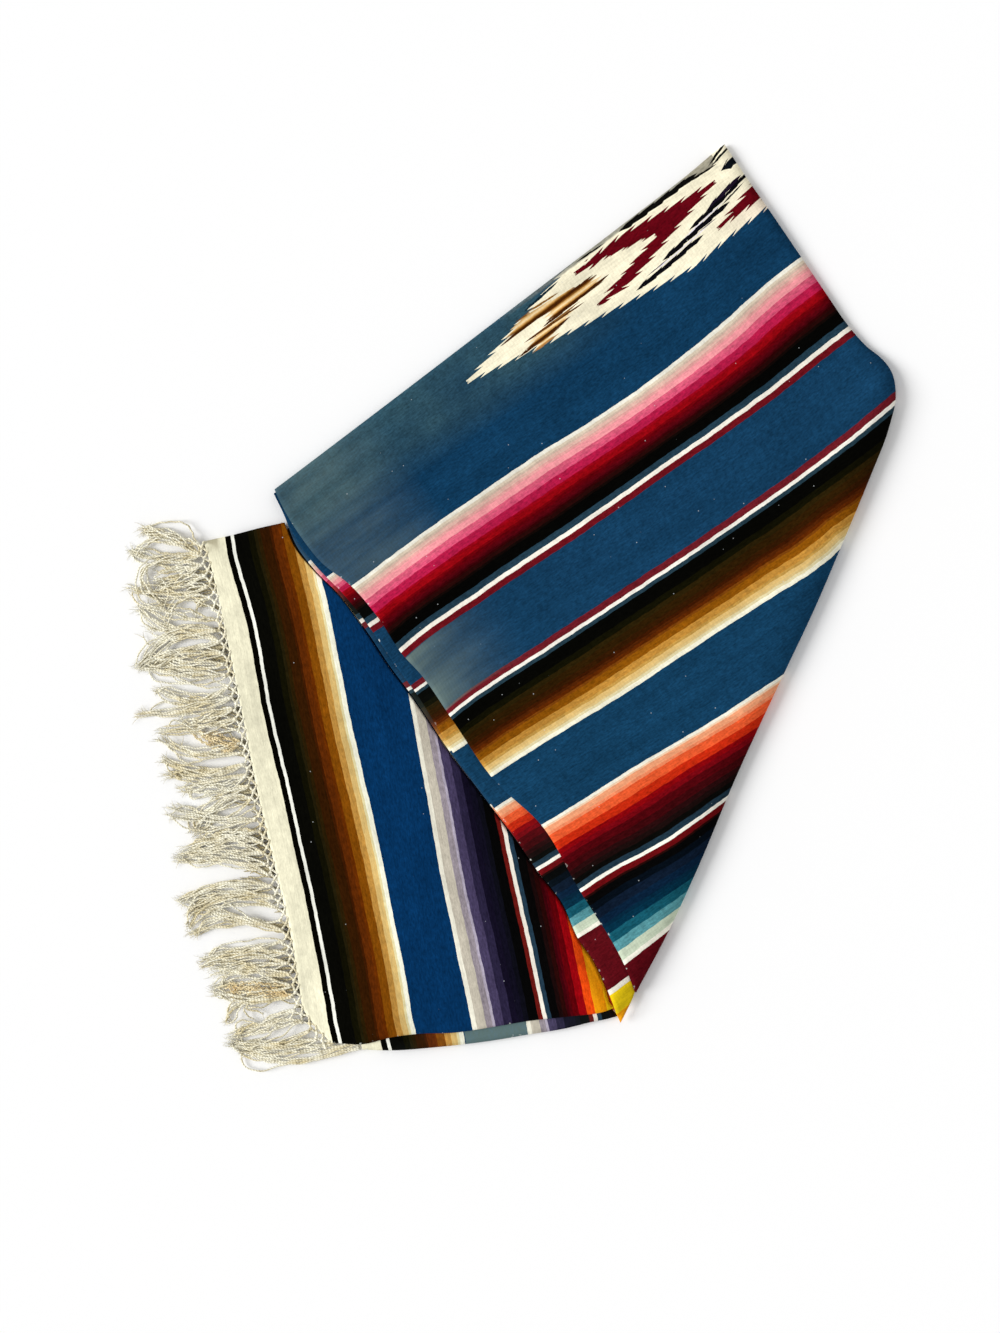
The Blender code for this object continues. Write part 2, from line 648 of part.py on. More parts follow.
def build():
    build_panel_face()
    build_panel_second()
    join_tail_core(build_core())
    build_tail()
    build_fringe_upper()
    build_fringe_under()


for leftover in list(bpy.data.objects):
    bpy.data.objects.remove(leftover, do_unlink=True)
serape = bpy.data.collections.new("mexican_serape")
bpy.context.scene.collection.children.link(serape)
hidden_shapes = bpy.data.collections.new("joined_shapes")
bpy.context.scene.collection.children.link(hidden_shapes)
build()
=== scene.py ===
"""Looks of a folded Mexican serape with a knotted fringe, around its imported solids."""
import math

import bpy
import numpy as np
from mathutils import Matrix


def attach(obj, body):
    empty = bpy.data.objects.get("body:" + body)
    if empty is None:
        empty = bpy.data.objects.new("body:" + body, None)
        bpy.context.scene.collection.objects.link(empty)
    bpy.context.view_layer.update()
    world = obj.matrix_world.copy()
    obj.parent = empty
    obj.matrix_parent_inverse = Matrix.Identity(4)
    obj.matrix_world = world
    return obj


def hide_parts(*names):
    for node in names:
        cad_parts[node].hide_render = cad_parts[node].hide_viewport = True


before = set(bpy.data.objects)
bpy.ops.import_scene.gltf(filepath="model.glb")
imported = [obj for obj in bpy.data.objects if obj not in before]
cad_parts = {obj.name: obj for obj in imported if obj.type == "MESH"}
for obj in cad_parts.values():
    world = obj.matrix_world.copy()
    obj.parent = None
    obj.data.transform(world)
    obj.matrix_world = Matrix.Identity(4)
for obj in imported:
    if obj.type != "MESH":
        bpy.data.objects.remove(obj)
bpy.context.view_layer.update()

# ---- Camera, floor and light ----------------------------------------------------------------
# The serape is seen from straight above, on a plain pale floor, under soft studio light with a
# key from the left that leaves a soft shadow along the right-hand edges.
VIEW_HEIGHT = 3.2  # camera above the floor
VIEW_CENTRE = (-0.014, -0.066)
VIEW_TALL = 1.493  # metres of floor from the frame's lower to its upper edge
FLOOR_HALF, FLOOR_LEVEL, FLOOR_GREY = 6.0, -0.0002, 0.96
KEY_ENERGY, KEY_SPREAD, KEY_TILT, KEY_BEARING = 2.65, 30, 57, 275  # angles in degrees
WORLD_STRENGTH = 0.58


def add_object(name, data):
    """An object of the scene, at the origin."""
    made = bpy.data.objects.new(name, data)
    bpy.context.scene.collection.objects.link(made)
    return made


def matt_material(name, roughness, sheen=0.0, specular=0.5):
    """A matt material and its shader."""
    made = bpy.data.materials.new(name)
    made.use_nodes = True
    shader = made.node_tree.nodes["Principled BSDF"]
    shader.inputs["Roughness"].default_value = roughness
    shader.inputs["Sheen Weight"].default_value = sheen
    shader.inputs["Specular IOR Level"].default_value = specular
    return made, shader


def studio_floor():
    """A flat square under the serape, just below the surface that it rests on."""
    mesh = bpy.data.meshes.new("studio_floor")
    corners = [(x * FLOOR_HALF, y * FLOOR_HALF, FLOOR_LEVEL) for x, y in ((-1, -1), (1, -1), (1, 1), (-1, 1))]
    mesh.from_pydata(corners, [], [(0, 1, 2, 3)])
    pale, shader = matt_material("pale_floor", roughness=0.9)
    shader.inputs["Base Color"].default_value = (FLOOR_GREY, FLOOR_GREY, FLOOR_GREY, 1)
    mesh.materials.append(pale)
    made = add_object("studio_floor", mesh)


studio_floor()
lens = bpy.data.cameras.new("overhead_lens")
lens.sensor_fit = "VERTICAL"
lens.sensor_height = 24.0
lens.lens = lens.sensor_height * VIEW_HEIGHT / VIEW_TALL
overhead = add_object("overhead_camera", lens)
overhead.location = (*VIEW_CENTRE, VIEW_HEIGHT)
bpy.context.scene.camera = overhead
bpy.context.scene.view_settings.view_transform = "Standard"
key = bpy.data.lights.new("key_light", "SUN")
key.energy, key.angle = KEY_ENERGY, math.radians(KEY_SPREAD)
add_object("key_light", key).rotation_euler = (math.radians(KEY_TILT), 0, math.radians(KEY_BEARING))
world = bpy.data.worlds.new("soft_studio")
world.use_nodes = True
world.node_tree.nodes["Background"].inputs["Color"].default_value = (1, 1, 1, 1)
world.node_tree.nodes["Background"].inputs["Strength"].default_value = WORLD_STRENGTH
bpy.context.scene.world = world

# ---- The panel's face -------------------------------------------------------------------------
# The top layer of the upper strip: wool weft packed over cotton warp, folded over the serape's
# middle, down its long right edge and along the slant. It is one thin shell whose folded edges
# roll over the pile and in under it.
CLOTH = 0.0020  # thickness of a layer
PITCH = 0.0025  # from one layer to the next
PACKET = 4 * PITCH
FLOOR_GAP = 0.0003
EDGE_SHARE = 0.47  # height of a fold's outline, as a share of the pile's
TOP_ROLL, RIGHT_ROLL, SLANT_ROLL, TAIL_ROLL, UNDER_ROLL = 0.009, 0.012, 0.028, 0.009, 0.006
RIGHT_PUFF, SLANT_PUFF = 0.0010, 0.0045
SLANT_FROM, SLANT_BLEND = 0.300, 0.100  # where along y the slant's roll takes over
ROLL_INSET = 1.55  # how far a layer's fold lies inside the face's, for its depth
DRAPE_OUT, DRAPE_IN, DRAPE_GAP = 0.070, 0.012, 0.0004
SWELL = 0.0006
FACE_CURL = (0.0016, 0.012)  # lift and reach of the selvedge's curl
PANEL_WIDTH, PANEL_LENGTH = 0.62, 1.00  # about, to count its cells
PANEL_ROLLS = ((0, 0.024), (0.024, 0.085))  # shares of them that roll at each end
FACE_CELLS = (0.0050, 0.0046)  # across and down
NO_RIM = 0.1  # distance from the selvedge for points that are on no face
TAIL_FOLD_POINT, TAIL_FOLD_RUN = np.array([-0.312, 0.081]), np.array([0.980, 0.200])

# Outlines in the plan, columns x_mm, y_mm.
TOP_FOLD = ((-266, 132), (-137, 230), (-14, 324), (120, 426), (203, 490), (223, 507), (237, 518))
RIGHT_FOLD = (
    (237, 518), (260, 483), (288, 443), (322, 393), (350, 352), (378, 312), (396, 292), (413, 278),
    (423, 265), (428, 237),
)
SLANT_FOLD = (
    (428, 237), (421, 203), (399, 145), (369, 73), (337, -2), (303, -74), (248, -193), (209, -286),
    (172, -366), (138, -430), (121, -464),
)
FACE_SELVEDGE = (
    (-266, 132), (-253, 106), (-234, 76), (-214, 51), (-179, 23), (-150, -11), (-123, -52),
    (-102, -75), (-68, -124), (-20, -193), (34, -245), (71, -309), (124, -397), (138, -430),
)
# The long fold at the right, and where it would run on inside the pile.
FAR_FOLD = ((237, 518), (323, 391), (381, 315), (428, 230), (520, 100), (700, -180))

PICK = 0.00112  # metres of cloth for one pick of weft
# Where the bands lie. Columns: picks from the middle fold, then points x_mm, y_mm from the
# selvedge to the far fold.
PANEL_BANDS = (
    (0, ((-266, 132), (-137, 230), (-14, 324), (120, 426), (237, 518))),
    (129.5, (
        (-179, 23), (-164, 34), (-82, 94), (23, 166), (129, 236), (230, 313), (292, 368), (323, 391),
    )),
    (210.5, (
        (-125, -49), (-112, -37), (-29, 21), (76, 92), (181, 164), (284, 239), (348, 290), (381, 315),
    )),
    (294, ((-71, -120), (-59, -110), (25, -54), (132, 16), (237, 87), (341, 160), (428, 230))),
    (371.5, ((-21, -184), (-10, -177), (76, -123), (183, -54), (289, 15), (347, 53), (369, 73))),
    (446.7, ((32, -245), (37, -242), (124, -188), (232, -122), (303, -77))),
    (525, ((74, -316), (85, -308), (174, -258), (241, -212))),
    (606, ((124, -397), (174, -361), (209, -336))),
)
PANEL_WEFT = np.array([0.806, 0.592])  # the way the weft runs, from the selvedge


def at_shares(line, shares):
    """Points of a line at these shares of its length."""
    run = np.concatenate([[0.0], np.cumsum(np.linalg.norm(np.diff(line, axis=0), axis=1))])
    return np.stack([np.interp(np.asarray(shares) * run[-1], run, line[:, k]) for k in (0, 1)], 1)


def smooth_line(rows_mm, count=160):
    """An evenly stepped curve through the rows' points: a Hermite curve on their chords."""
    points = np.array(rows_mm, float) / 1000
    knots = np.concatenate([[0.0], np.cumsum(np.linalg.norm(np.diff(points, axis=0), axis=1))])
    slopes = np.gradient(points, knots, axis=0)
    u = np.linspace(0, 1, 12, endpoint=False)[None, :, None]
    width = np.diff(knots)[:, None, None]
    start, end = points[:-1, None], points[1:, None]
    fine = (2 * u**3 - 3 * u**2 + 1) * start + (u**3 - 2 * u**2 + u) * width * slopes[:-1, None]
    fine = fine + (3 * u**2 - 2 * u**3) * end + (u**3 - u**2) * width * slopes[1:, None]
    return at_shares(np.vstack([fine.reshape(-1, 2), points[-1:]]), np.linspace(0, 1, count))


def left_normals(line):
    """Vectors to the left of a line's run, mitred so that an offset keeps its distance."""
    runs = np.diff(line, axis=0)
    runs /= np.linalg.norm(runs, axis=1)[:, None]
    sides = np.stack([-runs[:, 1], runs[:, 0]], 1)
    both = np.vstack([sides[:1], sides]) + np.vstack([sides, sides[-1:]])
    return both / np.maximum((both * both).sum(1) / 2, 0.5)[:, None]


def nearest(points, line):
    """Distance from each point to a line, and the index of the line's nearest segment."""
    start, run = line[:-1], np.diff(line, axis=0)
    away = points[:, None, :] - start[None]
    share = np.clip((away * run).sum(2) / (run * run).sum(1), 0, 1)
    gaps = np.linalg.norm(away - share[..., None] * run, axis=2)
    return gaps.min(1), gaps.argmin(1)


def soft_step(x):
    """0 below 0, 1 above 1, and the cubic 3x2 - 2x3 between."""
    x = np.clip(x, 0, 1)
    return x * x * (3 - 2 * x)


TOP_LINE = smooth_line(TOP_FOLD)
SIDE_LINE = smooth_line(RIGHT_FOLD + SLANT_FOLD[1:], 280)
SIDE_BLEND = soft_step((SLANT_FROM - SIDE_LINE[:, 1]) / SLANT_BLEND)
SIDE_ROLL = RIGHT_ROLL + (SLANT_ROLL - RIGHT_ROLL) * SIDE_BLEND
SIDE_PUFF = RIGHT_PUFF + (SLANT_PUFF - RIGHT_PUFF) * SIDE_BLEND
PANEL_FOLDS = ((TOP_LINE, np.full(len(TOP_LINE), TOP_ROLL)), (SIDE_LINE, SIDE_ROLL))

# Creases of the panel, placed one by one. Columns: ends x_mm, y_mm, half width mm, height mm
# (below 0 for a trough).
PANEL_CREASES = (
    (-190, 120, 60, 315, 26, 0.9), (-60, 20, 150, 190, 34, -0.8), (40, 330, 250, 470, 22, -0.7),
    (150, 60, 330, 170, 30, 0.8), (10, -120, 180, 20, 28, 0.7), (300, 300, 395, 250, 20, -0.9),
    (180, -230, 250, -90, 24, -0.8), (90, -330, 150, -250, 20, 0.7), (-240, 110, -150, 10, 18, 0.8),
    (250, 200, 300, 330, 26, 0.7),
)


def creases(points, rows):
    """Sum of the rows' ridges: a bell across each, fading to nothing at its two ends."""
    height = np.zeros(len(points))
    for x0, y0, x1, y1, half, tall in rows:
        start, run = np.array([x0, y0]) / 1000, np.array([x1 - x0, y1 - y0]) / 1000
        length = np.linalg.norm(run)
        along = (points - start) @ run / length**2
        aside = (points - start) @ np.array([-run[1], run[0]]) / length
        aside = aside + 0.006 * np.sin(9 * along + x0)
        bell = np.exp(-((aside / (half / 1000)) ** 2))
        height += tall / 1000 * bell * soft_step(1.6 * along + 0.3) * soft_step(1.6 * (1 - along) + 0.3)
    return height


def drawn_in(points, folds, inset):
    """The points moved in from each fold: its outline by the inset, its roll's start not at all."""
    moved = points.copy()
    for line, widths in folds:
        gap, i = nearest(points, line)
        share = np.clip(1 - gap / widths[i], 0, 1)
        moved -= left_normals(line)[i] * (inset * share)[:, None]
    return moved


def rolled(points, folds, inset):
    """1 inside a fold's roll, falling on a quarter of an ellipse to 0 at the layer's outline."""
    turned = 0
    for line, widths in folds:
        gap, i = nearest(points, line)
        turned = turned + np.clip(1 - (gap - inset) / (widths[i] - inset), 0, 1) ** 6
    return np.sqrt(1 - np.clip(turned ** (1 / 6), 0, 1) ** 2)


def lying_on(points):
    """Height of what the panel lies on: the floor, and past the tail's folded edge the tail."""
    run = TAIL_FOLD_RUN / np.linalg.norm(TAIL_FOLD_RUN)
    inward = (points - TAIL_FOLD_POINT) @ np.array([run[1], -run[0]])
    return (PACKET + DRAPE_GAP) * soft_step((inward + DRAPE_OUT) / (DRAPE_OUT + DRAPE_IN))


def panel_height(points, depth):
    """Height of the layer of the panel that lies this deep under its face."""
    gap, i = nearest(points, SIDE_LINE)
    past_roll = (gap - SIDE_ROLL[i]) / SIDE_ROLL[i]
    top = lying_on(points) + PACKET + SIDE_PUFF[i] * np.exp(-(past_roll**2))
    x, y = points.T
    swell = np.sin(21 * x + 9 * y + 0.8) * np.sin(17 * y - 8 * x)
    top += SWELL * swell + creases(points, PANEL_CREASES)
    edge = EDGE_SHARE * top
    return edge + (top - depth - edge) * rolled(points, PANEL_FOLDS, ROLL_INSET * depth)


def patch(top, bottom, left, right, across, down):
    """Coons patch between four lines: rows run from top to bottom, columns from left to right."""
    t, b = at_shares(top, across)[None], at_shares(bottom, across)[None]
    l, r = at_shares(left, down)[:, None], at_shares(right, down)[:, None]
    u, v = across[None, :, None], down[:, None, None]
    upper = (1 - u) * top[0] + u * top[-1]
    lower = (1 - u) * bottom[0] + u * bottom[-1]
    return (1 - v) * t + v * b + (1 - u) * l + u * r - (1 - v) * upper - v * lower


def picks_at(points, bands, weft):
    """Picks of weft from the middle fold: between the bands' lines in proportion, past them one
    for each PICK of cloth."""
    across = np.array([weft[1], -weft[0]])
    along, away = points @ weft, points @ across
    picks = [row[0] for row in bands]
    lines = []
    for _, line_mm in bands:
        line = smooth_line(line_mm)
        line_along, line_away = line @ weft, line @ across
        rise = np.polyfit(line_along, line_away, 1)[0]
        beyond = along - np.clip(along, line_along.min(), line_along.max())
        order = np.argsort(line_along)
        lines.append(np.interp(along, line_along[order], line_away[order]) + rise * beyond)
    made = picks[0] + (away - lines[0]) / PICK
    for k in range(len(lines) - 1):
        share = (away - lines[k]) / (lines[k + 1] - lines[k])
        made = np.where(share > 0, picks[k] + share * (picks[k + 1] - picks[k]), made)
    return np.where(away > lines[-1], picks[-1] + (away - lines[-1]) / PICK, made)


def panel_cloth(points):
    """Where a point of the panel lies on the opened cloth: picks from the middle fold, and metres
    from the long fold at the right."""
    aside = np.array([PANEL_WEFT[1], -PANEL_WEFT[0]])
    far = smooth_line(FAR_FOLD)
    reach = np.interp(points @ aside, far @ aside, far @ PANEL_WEFT)
    return np.column_stack([picks_at(points, PANEL_BANDS, PANEL_WEFT), reach - points @ PANEL_WEFT])


def grid_faces(rows, columns):
    """Numbers of a grid's points, and its faces."""
    index = np.arange(rows * columns).reshape(rows, columns)
    corners = [index[:-1, :-1], index[1:, :-1], index[1:, 1:], index[:-1, 1:]]
    return index, np.stack(corners, -1).reshape(-1, 4)


def smooth_object(name, verts, faces, map_name, corners):
    """A smooth mesh in the scene, with a UV map that gives each corner of its faces a place."""
    mesh = bpy.data.meshes.new(name)
    mesh.from_pydata(np.vstack(verts).tolist(), [], faces)
    mesh.uv_layers.new(name=map_name).data.foreach_set("uv", corners.astype(np.float32).ravel())
    mesh.shade_smooth()
    return add_object(name, mesh)


def cloth_object(name, verts, faces, places, edge=()):
    """A mesh of the cloth. Its map holds each point's place on the opened serape, and its
    attribute the distance from the selvedge, or a long one past the points that have one."""
    made = smooth_object(name, verts, faces.tolist(), "cloth", np.vstack(places)[faces.ravel()])
    far = np.full(len(made.data.vertices), NO_RIM, np.float32)
    far[: len(edge)] = edge
    made.data.attributes.new("edge", "FLOAT", "POINT").data.foreach_set("value", far)
    return made


def cloth_piece(name, shape, flat, height, cloth, edge, skirt=(), skirt_cloth=(), skirt_from=()):
    """A shell of the cloth's thickness, from a grid of points and their heights, with rows that
    hang from a run of its border."""
    index, quads = grid_faces(*shape)
    verts, places = [np.column_stack([flat, height])], [cloth]
    previous, count = np.array(skirt_from, int), index.size
    for row, place in zip(skirt, skirt_cloth):
        made = np.arange(count, count + len(row))
        quads = np.vstack([quads, np.stack([previous[:-1], previous[1:], made[1:], made[:-1]], -1)])
        verts.append(row)
        places.append(place)
        previous, count = made, count + len(row)
    shell = cloth_object(name, verts, quads, places, edge)
    wall = shell.modifiers.new("wall", "SOLIDIFY")
    wall.thickness, wall.offset = CLOTH, -1
    return shell


def turned_under(border, folds, height):
    """Rows that carry a fold's outline down and in under the pile, with their places unrolled."""
    rows, flat = [], []
    edge = height(border)
    for angle in np.radians((18, 36, 54, 72, 90)):
        inward = drawn_in(border, folds, UNDER_ROLL * (1 - math.cos(angle)))
        rows.append(np.column_stack([inward, FLOOR_GAP + (edge - FLOOR_GAP) * (1 - math.sin(angle))]))
        flat.append(2 * border - drawn_in(border, folds, 0.008 * math.degrees(angle) / 90))
    return rows, flat


def graded(cell, length, rolls):
    """Shares of a length: cells of about one size, and six rows over a roll at each end."""
    bend = 1 - np.cos(np.radians([0, 18, 34, 48, 62, 76]))
    first, last = rolls
    start = first * bend if first else np.empty(0)
    end = 1 - last * bend[::-1] if last else np.empty(0)
    inner = np.linspace(first, 1 - last, max(3, round(length * (1 - first - last) / cell)))
    return np.concatenate([start, inner, end])


def panel_plan(across_cell, down_cell, margin_mm=(), margin_cells=0):
    """Plan of the panel between its two long folds, its selvedge and the slanting fold, with
    columns before it that start from a margin line."""
    corner = int(np.abs(SIDE_LINE - np.array(RIGHT_FOLD[-1]) / 1000).sum(1).argmin())
    tip = int(np.abs(SIDE_LINE - np.array(FACE_SELVEDGE[-1]) / 1000).sum(1).argmin())
    right, slant = SIDE_LINE[: corner + 1], SIDE_LINE[corner : tip + 1][::-1]
    across = graded(across_cell, PANEL_WIDTH, PANEL_ROLLS[0])
    down = graded(down_cell, PANEL_LENGTH, PANEL_ROLLS[1])
    plan = patch(TOP_LINE, slant, smooth_line(FACE_SELVEDGE), right, across, down)
    if not margin_mm:
        return plan
    margin = at_shares(smooth_line(margin_mm), down)[:, None]
    steps = np.linspace(0, 1, margin_cells + 1)[:-1][None, :, None]
    return np.concatenate([margin * (1 - steps) + plan[:, :1] * steps, plan], axis=1)


def face_curl(points, line, lift, reach):
    """Lift of a free edge, uneven along it: a bell of the distance from it."""
    gap, i = nearest(points, line)
    along = i / len(line)
    uneven = 0.5 + 0.35 * np.sin(23 * along + 1.0) + 0.25 * np.sin(61 * along)
    return lift * np.clip(uneven, 0, 1.2) * np.exp(-((gap / reach) ** 2))


plan = panel_plan(*FACE_CELLS)
flat = plan.reshape(-1, 2)
face_line = smooth_line(FACE_SELVEDGE)
index, _ = grid_faces(*plan.shape[:2])
border = np.concatenate([index[0, :-1], index[:-1, -1], index[-1, ::-1]])
skirt, skirt_flat = turned_under(flat[border], PANEL_FOLDS, lambda p: panel_height(p, 0.0))
panel_face = cloth_piece(
    "panel_face_cloth",
    plan.shape[:2],
    flat,
    panel_height(flat, 0.0) + face_curl(flat, face_line, *FACE_CURL),
    panel_cloth(flat),
    nearest(flat, face_line)[0],
    skirt,
    [panel_cloth(p) for p in skirt_flat],
    border,
)

# Colours of the yarn, from the middle fold to the fringe. Rows: a band, then its stripes as
# picks of weft and colour.
YARN_BANDS = (
    ("centre", ((129, "113a5a"),)),
    ("pink", (
        (3.5, "f2eedf"), (2.5, "decfb8"), (2, "d2baa8"), (3.5, "e3b8aa"), (2.5, "e6a49f"),
        (6, "f59ca2"), (4, "dc5e7a"), (4, "df5679"), (8.3, "b71c47"), (2.2, "9c0719"),
        (5.5, "940711"), (2, "72040c"), (2.5, "61020b"), (2, "5a040d"), (2, "52050e"),
        (1.8, "42040b"), (2, "300406"), (3.5, "260908"), (2.4, "120806"), (10.6, "050504"),
    )),
    ("rose_trim", (
        (6, "243d4c"), (4.2, "fbf4e6"), (6, "70131c"), (68, "153e5e"), (6.4, "701d26"),
        (3.6, "faf6ea"), (4.0, "253c48"),
    )),
    ("brown", (
        (13, "060604"), (6, "111004"), (4.5, "281d07"), (6.5, "2d1b05"), (5, "321804"),
        (2.8, "3c1703"), (2.7, "4e2106"), (3, "5c2604"), (2.5, "79410d"), (7, "8b5109"),
        (6, "bf8939"), (2.5, "c4984a"), (3.5, "e2be78"), (2.5, "dec182"), (2.5, "e4d7a9"),
        (4.2, "fbf7de"),
    )),
    ("brown_field", ((70.3, "143e5d"),)),
    ("orange", (
        (3, "f7f3e2"), (2, "f5d4b3"), (6, "f2a277"), (3, "f08b61"), (9.5, "ec5c30"), (8.5, "c62b10"),
        (5, "88060d"), (5, "750711"), (8, "51060d"), (7, "3c080c"), (5, "260b0c"), (5, "190c0b"),
        (5.5, "0a0a08"),
    )),
    ("orange_trim", ((5.7, "213644"), (3.5, "f7f3e6"), (5.7, "6a0d12"))),
    ("teal", (
        (2, "240a08"), (7.5, "060606"), (6.4, "060e17"), (8.7, "0e1b2d"), (7.2, "0a2139"),
        (4, "06263b"), (6.3, "052d42"), (9.2, "165869"), (9.2, "5a9ba3"), (9, "d2dfc5"),
        (4.5, "fcf9e8"),
    )),
    ("maroon_field", ((53.0, "5e0d16"),)),
    ("yellow", (
        (5, "f9f3e2"), (20, "f9d61a"), (12, "f6a313"), (8.3, "f24f12"), (7.7, "9a0710"),
        (6, "5f030a"), (2.5, "4c040c"), (3, "3c040b"), (4.5, "270807"), (4, "190909"),
        (8.5, "070606"),
    )),
    ("violet_trim", ((4.5, "253c4d"), (4, "f7f0e2"), (4.5, "6c1814"))),
    ("violet", (
        (10, "060606"), (5, "0d0d16"), (6, "110f1e"), (6, "130f21"), (8.5, "2a243e"), (9, "483f5f"),
        (2.5, "b2a9ba"), (6.5, "9b9199"), (9.5, "cac2b1"), (4.5, "f4f0de"),
    )),
    ("end_field", ((53.8, "07335e"),)),
    ("end_brown", (
        (4.3, "fbfae4"), (2.2, "ebe0ad"), (5.8, "debc76"), (6.2, "bf8d42"), (8.6, "834a09"),
        (3.2, "652c04"), (6.3, "5c2806"), (2.5, "3e1a04"), (9, "321804"), (3.5, "281b06"),
        (3, "211b09"), (6, "111004"), (14.2, "080805"),
    )),
    ("hem", ((3.0, "fafaee"), (5.9, "060502"), (200, "f7f2d4"))),
)
YARN_GAIN = 0.93  # brightness of the yarn for these colours
WARP_RIB = 0.0036  # metres between the warp's ribs
WEAVE_OUTPUTS = ("Height", "Streak", "Grain", "Wander")


def linear(hexed, gain=1.0):
    """Linear red, green and blue of a colour written as RRGGBB."""
    parts = np.array([int(hexed[k : k + 2], 16) / 255 for k in (0, 2, 4)])
    parts = np.where(parts <= 0.04045, parts / 12.92, ((parts + 0.055) / 1.055) ** 2.4)
    return (*np.minimum(parts * gain, 1.0).tolist(), 1.0)


def math_node(operation, swapped=False):
    """A method that joins a value to another one, or to a number, by a math node."""

    def joined(one, other=0.0):
        pair = (other, one) if swapped else (one, other)
        return one.tree.value("ShaderNodeMath", dict(enumerate(pair)), operation=operation)

    return joined


class Value:
    """An output of a node. Arithmetic on it adds math nodes to its tree."""

    def __init__(self, tree, socket):
        self.tree, self.socket = tree, socket

    __add__ = __radd__ = math_node("ADD")
    __mul__ = __rmul__ = math_node("MULTIPLY")
    __sub__, __rsub__ = math_node("SUBTRACT"), math_node("SUBTRACT", True)
    __truediv__, power = math_node("DIVIDE"), math_node("POWER")
    __gt__, __lt__ = math_node("GREATER_THAN"), math_node("LESS_THAN")
    at_least, at_most, pingpong = map(math_node, ("MAXIMUM", "MINIMUM", "PINGPONG"))
    sine, absolute, floor, fraction = map(math_node, ("SINE", "ABSOLUTE", "FLOOR", "FRACT"))

    def between(self, low, high, to_low=0.0, to_high=1.0):
        """The value's place between two limits, held inside them and carried to another range."""
        return self.tree.value("ShaderNodeMapRange", {0: self, 1: low, 2: high, 3: to_low, 4: to_high})

    def noise(self, scale, detail=2.0, roughness=0.5):
        """Noise at this place."""
        inputs = {"Vector": self, "Scale": scale, "Detail": detail, "Roughness": roughness}
        return self.tree.value("ShaderNodeTexNoise", inputs)

    def painted(self, share, paint):
        """This colour with a share of another over it."""
        return self.tree.mix(share, self, paint)


class Tree:
    """A node tree with short calls for its nodes."""

    def __init__(self, tree):
        self.tree = tree

    def fill(self, socket, value):
        if isinstance(value, Value):
            self.tree.links.new(value.socket, socket)
        else:
            socket.default_value = linear(value) if isinstance(value, str) else value

    def node(self, kind, inputs=(), **settings):
        made = self.tree.nodes.new(kind)
        for key, value in settings.items():
            setattr(made, key, value)
        for key, value in dict(inputs).items():
            self.fill(made.inputs[key], value)
        return made

    def values(self, kind, inputs=(), **settings):
        return [Value(self, socket) for socket in self.node(kind, inputs, **settings).outputs]

    def value(self, kind, inputs=(), output=0, **settings):
        return Value(self, self.node(kind, inputs, **settings).outputs[output])

    def mix(self, share, a, b, blend="MIX"):
        return self.value("ShaderNodeMix", {0: share, 6: a, 7: b}, 2, data_type="RGBA", blend_type=blend)

    def ramp(self, share, rows, interpolation="LINEAR", gain=1.0):
        """Colours over a share: rows of a place and a colour, the first at 0 and the last at 1."""
        made = self.node("ShaderNodeValToRGB", {"Fac": share})
        made.color_ramp.interpolation = interpolation
        steps = made.color_ramp.elements
        steps[0].color, steps[1].color = linear(rows[0][1], gain), linear(rows[-1][1], gain)
        for place, hexed in rows[1:-1]:
            steps.new(place).color = linear(hexed, gain)
        return Value(self, made.outputs[0])

    def map_place(self, name):
        """The two coordinates of a UV map."""
        return self.values("ShaderNodeSeparateXYZ", {0: self.value("ShaderNodeUVMap", uv_map=name)})[:2]

    def cloth_noise(self, picks, along, per_pick, per_metre, detail, roughness):
        """Noise over the opened cloth, at its own scale across the weft and along it."""
        place = self.value("ShaderNodeCombineXYZ", {0: picks * per_pick, 1: along * per_metre})
        return place.noise(1.0, detail, roughness)

    def dress(self, shader, colour, height, strength, depth):
        """Gives a shader its colour, and a bump of this strength and depth."""
        bump = self.value("ShaderNodeBump", {"Strength": strength, "Distance": depth, "Height": height})
        self.fill(shader.inputs["Base Color"], colour)
        self.fill(shader.inputs["Normal"], bump)


def group_tree(name, inputs, outputs):
    """A node group with these sockets, its tree, what is given to it, and its output sockets."""
    group = bpy.data.node_groups.new(name, "ShaderNodeTree")
    for sockets, way in ((inputs, "INPUT"), (outputs, "OUTPUT")):
        for socket in sockets:
            kind = "NodeSocketColor" if socket in ("Ground", "Color") else "NodeSocketFloat"
            group.interface.new_socket(socket, in_out=way, socket_type=kind)
    tree = Tree(group)
    given = dict(zip(inputs, tree.values("NodeGroupInput")))
    return group, tree, given, group.nodes.new("NodeGroupOutput").inputs


def yarn_bands_group():
    """Colour of the yarn at a pick of weft: each band is a stepped ramp over its own picks."""
    group, tree, given, result = group_tree("yarn_bands", ("Picks",), ("Color",))
    picks, start, colour = given["Picks"], 0.0, None
    for _, stripes in YARN_BANDS:
        length = sum(width for width, _ in stripes)
        place, rows = 0.0, []
        for width, hexed in stripes:
            rows.append((place / length, hexed))
            place += width
        rows.append((1.0, stripes[-1][1]))
        band = tree.ramp(picks.between(start, start + length), rows, "CONSTANT", YARN_GAIN)
        colour = band if colour is None else colour.painted(picks > start, band)
        start += length
    tree.fill(result["Color"], colour)
    return group


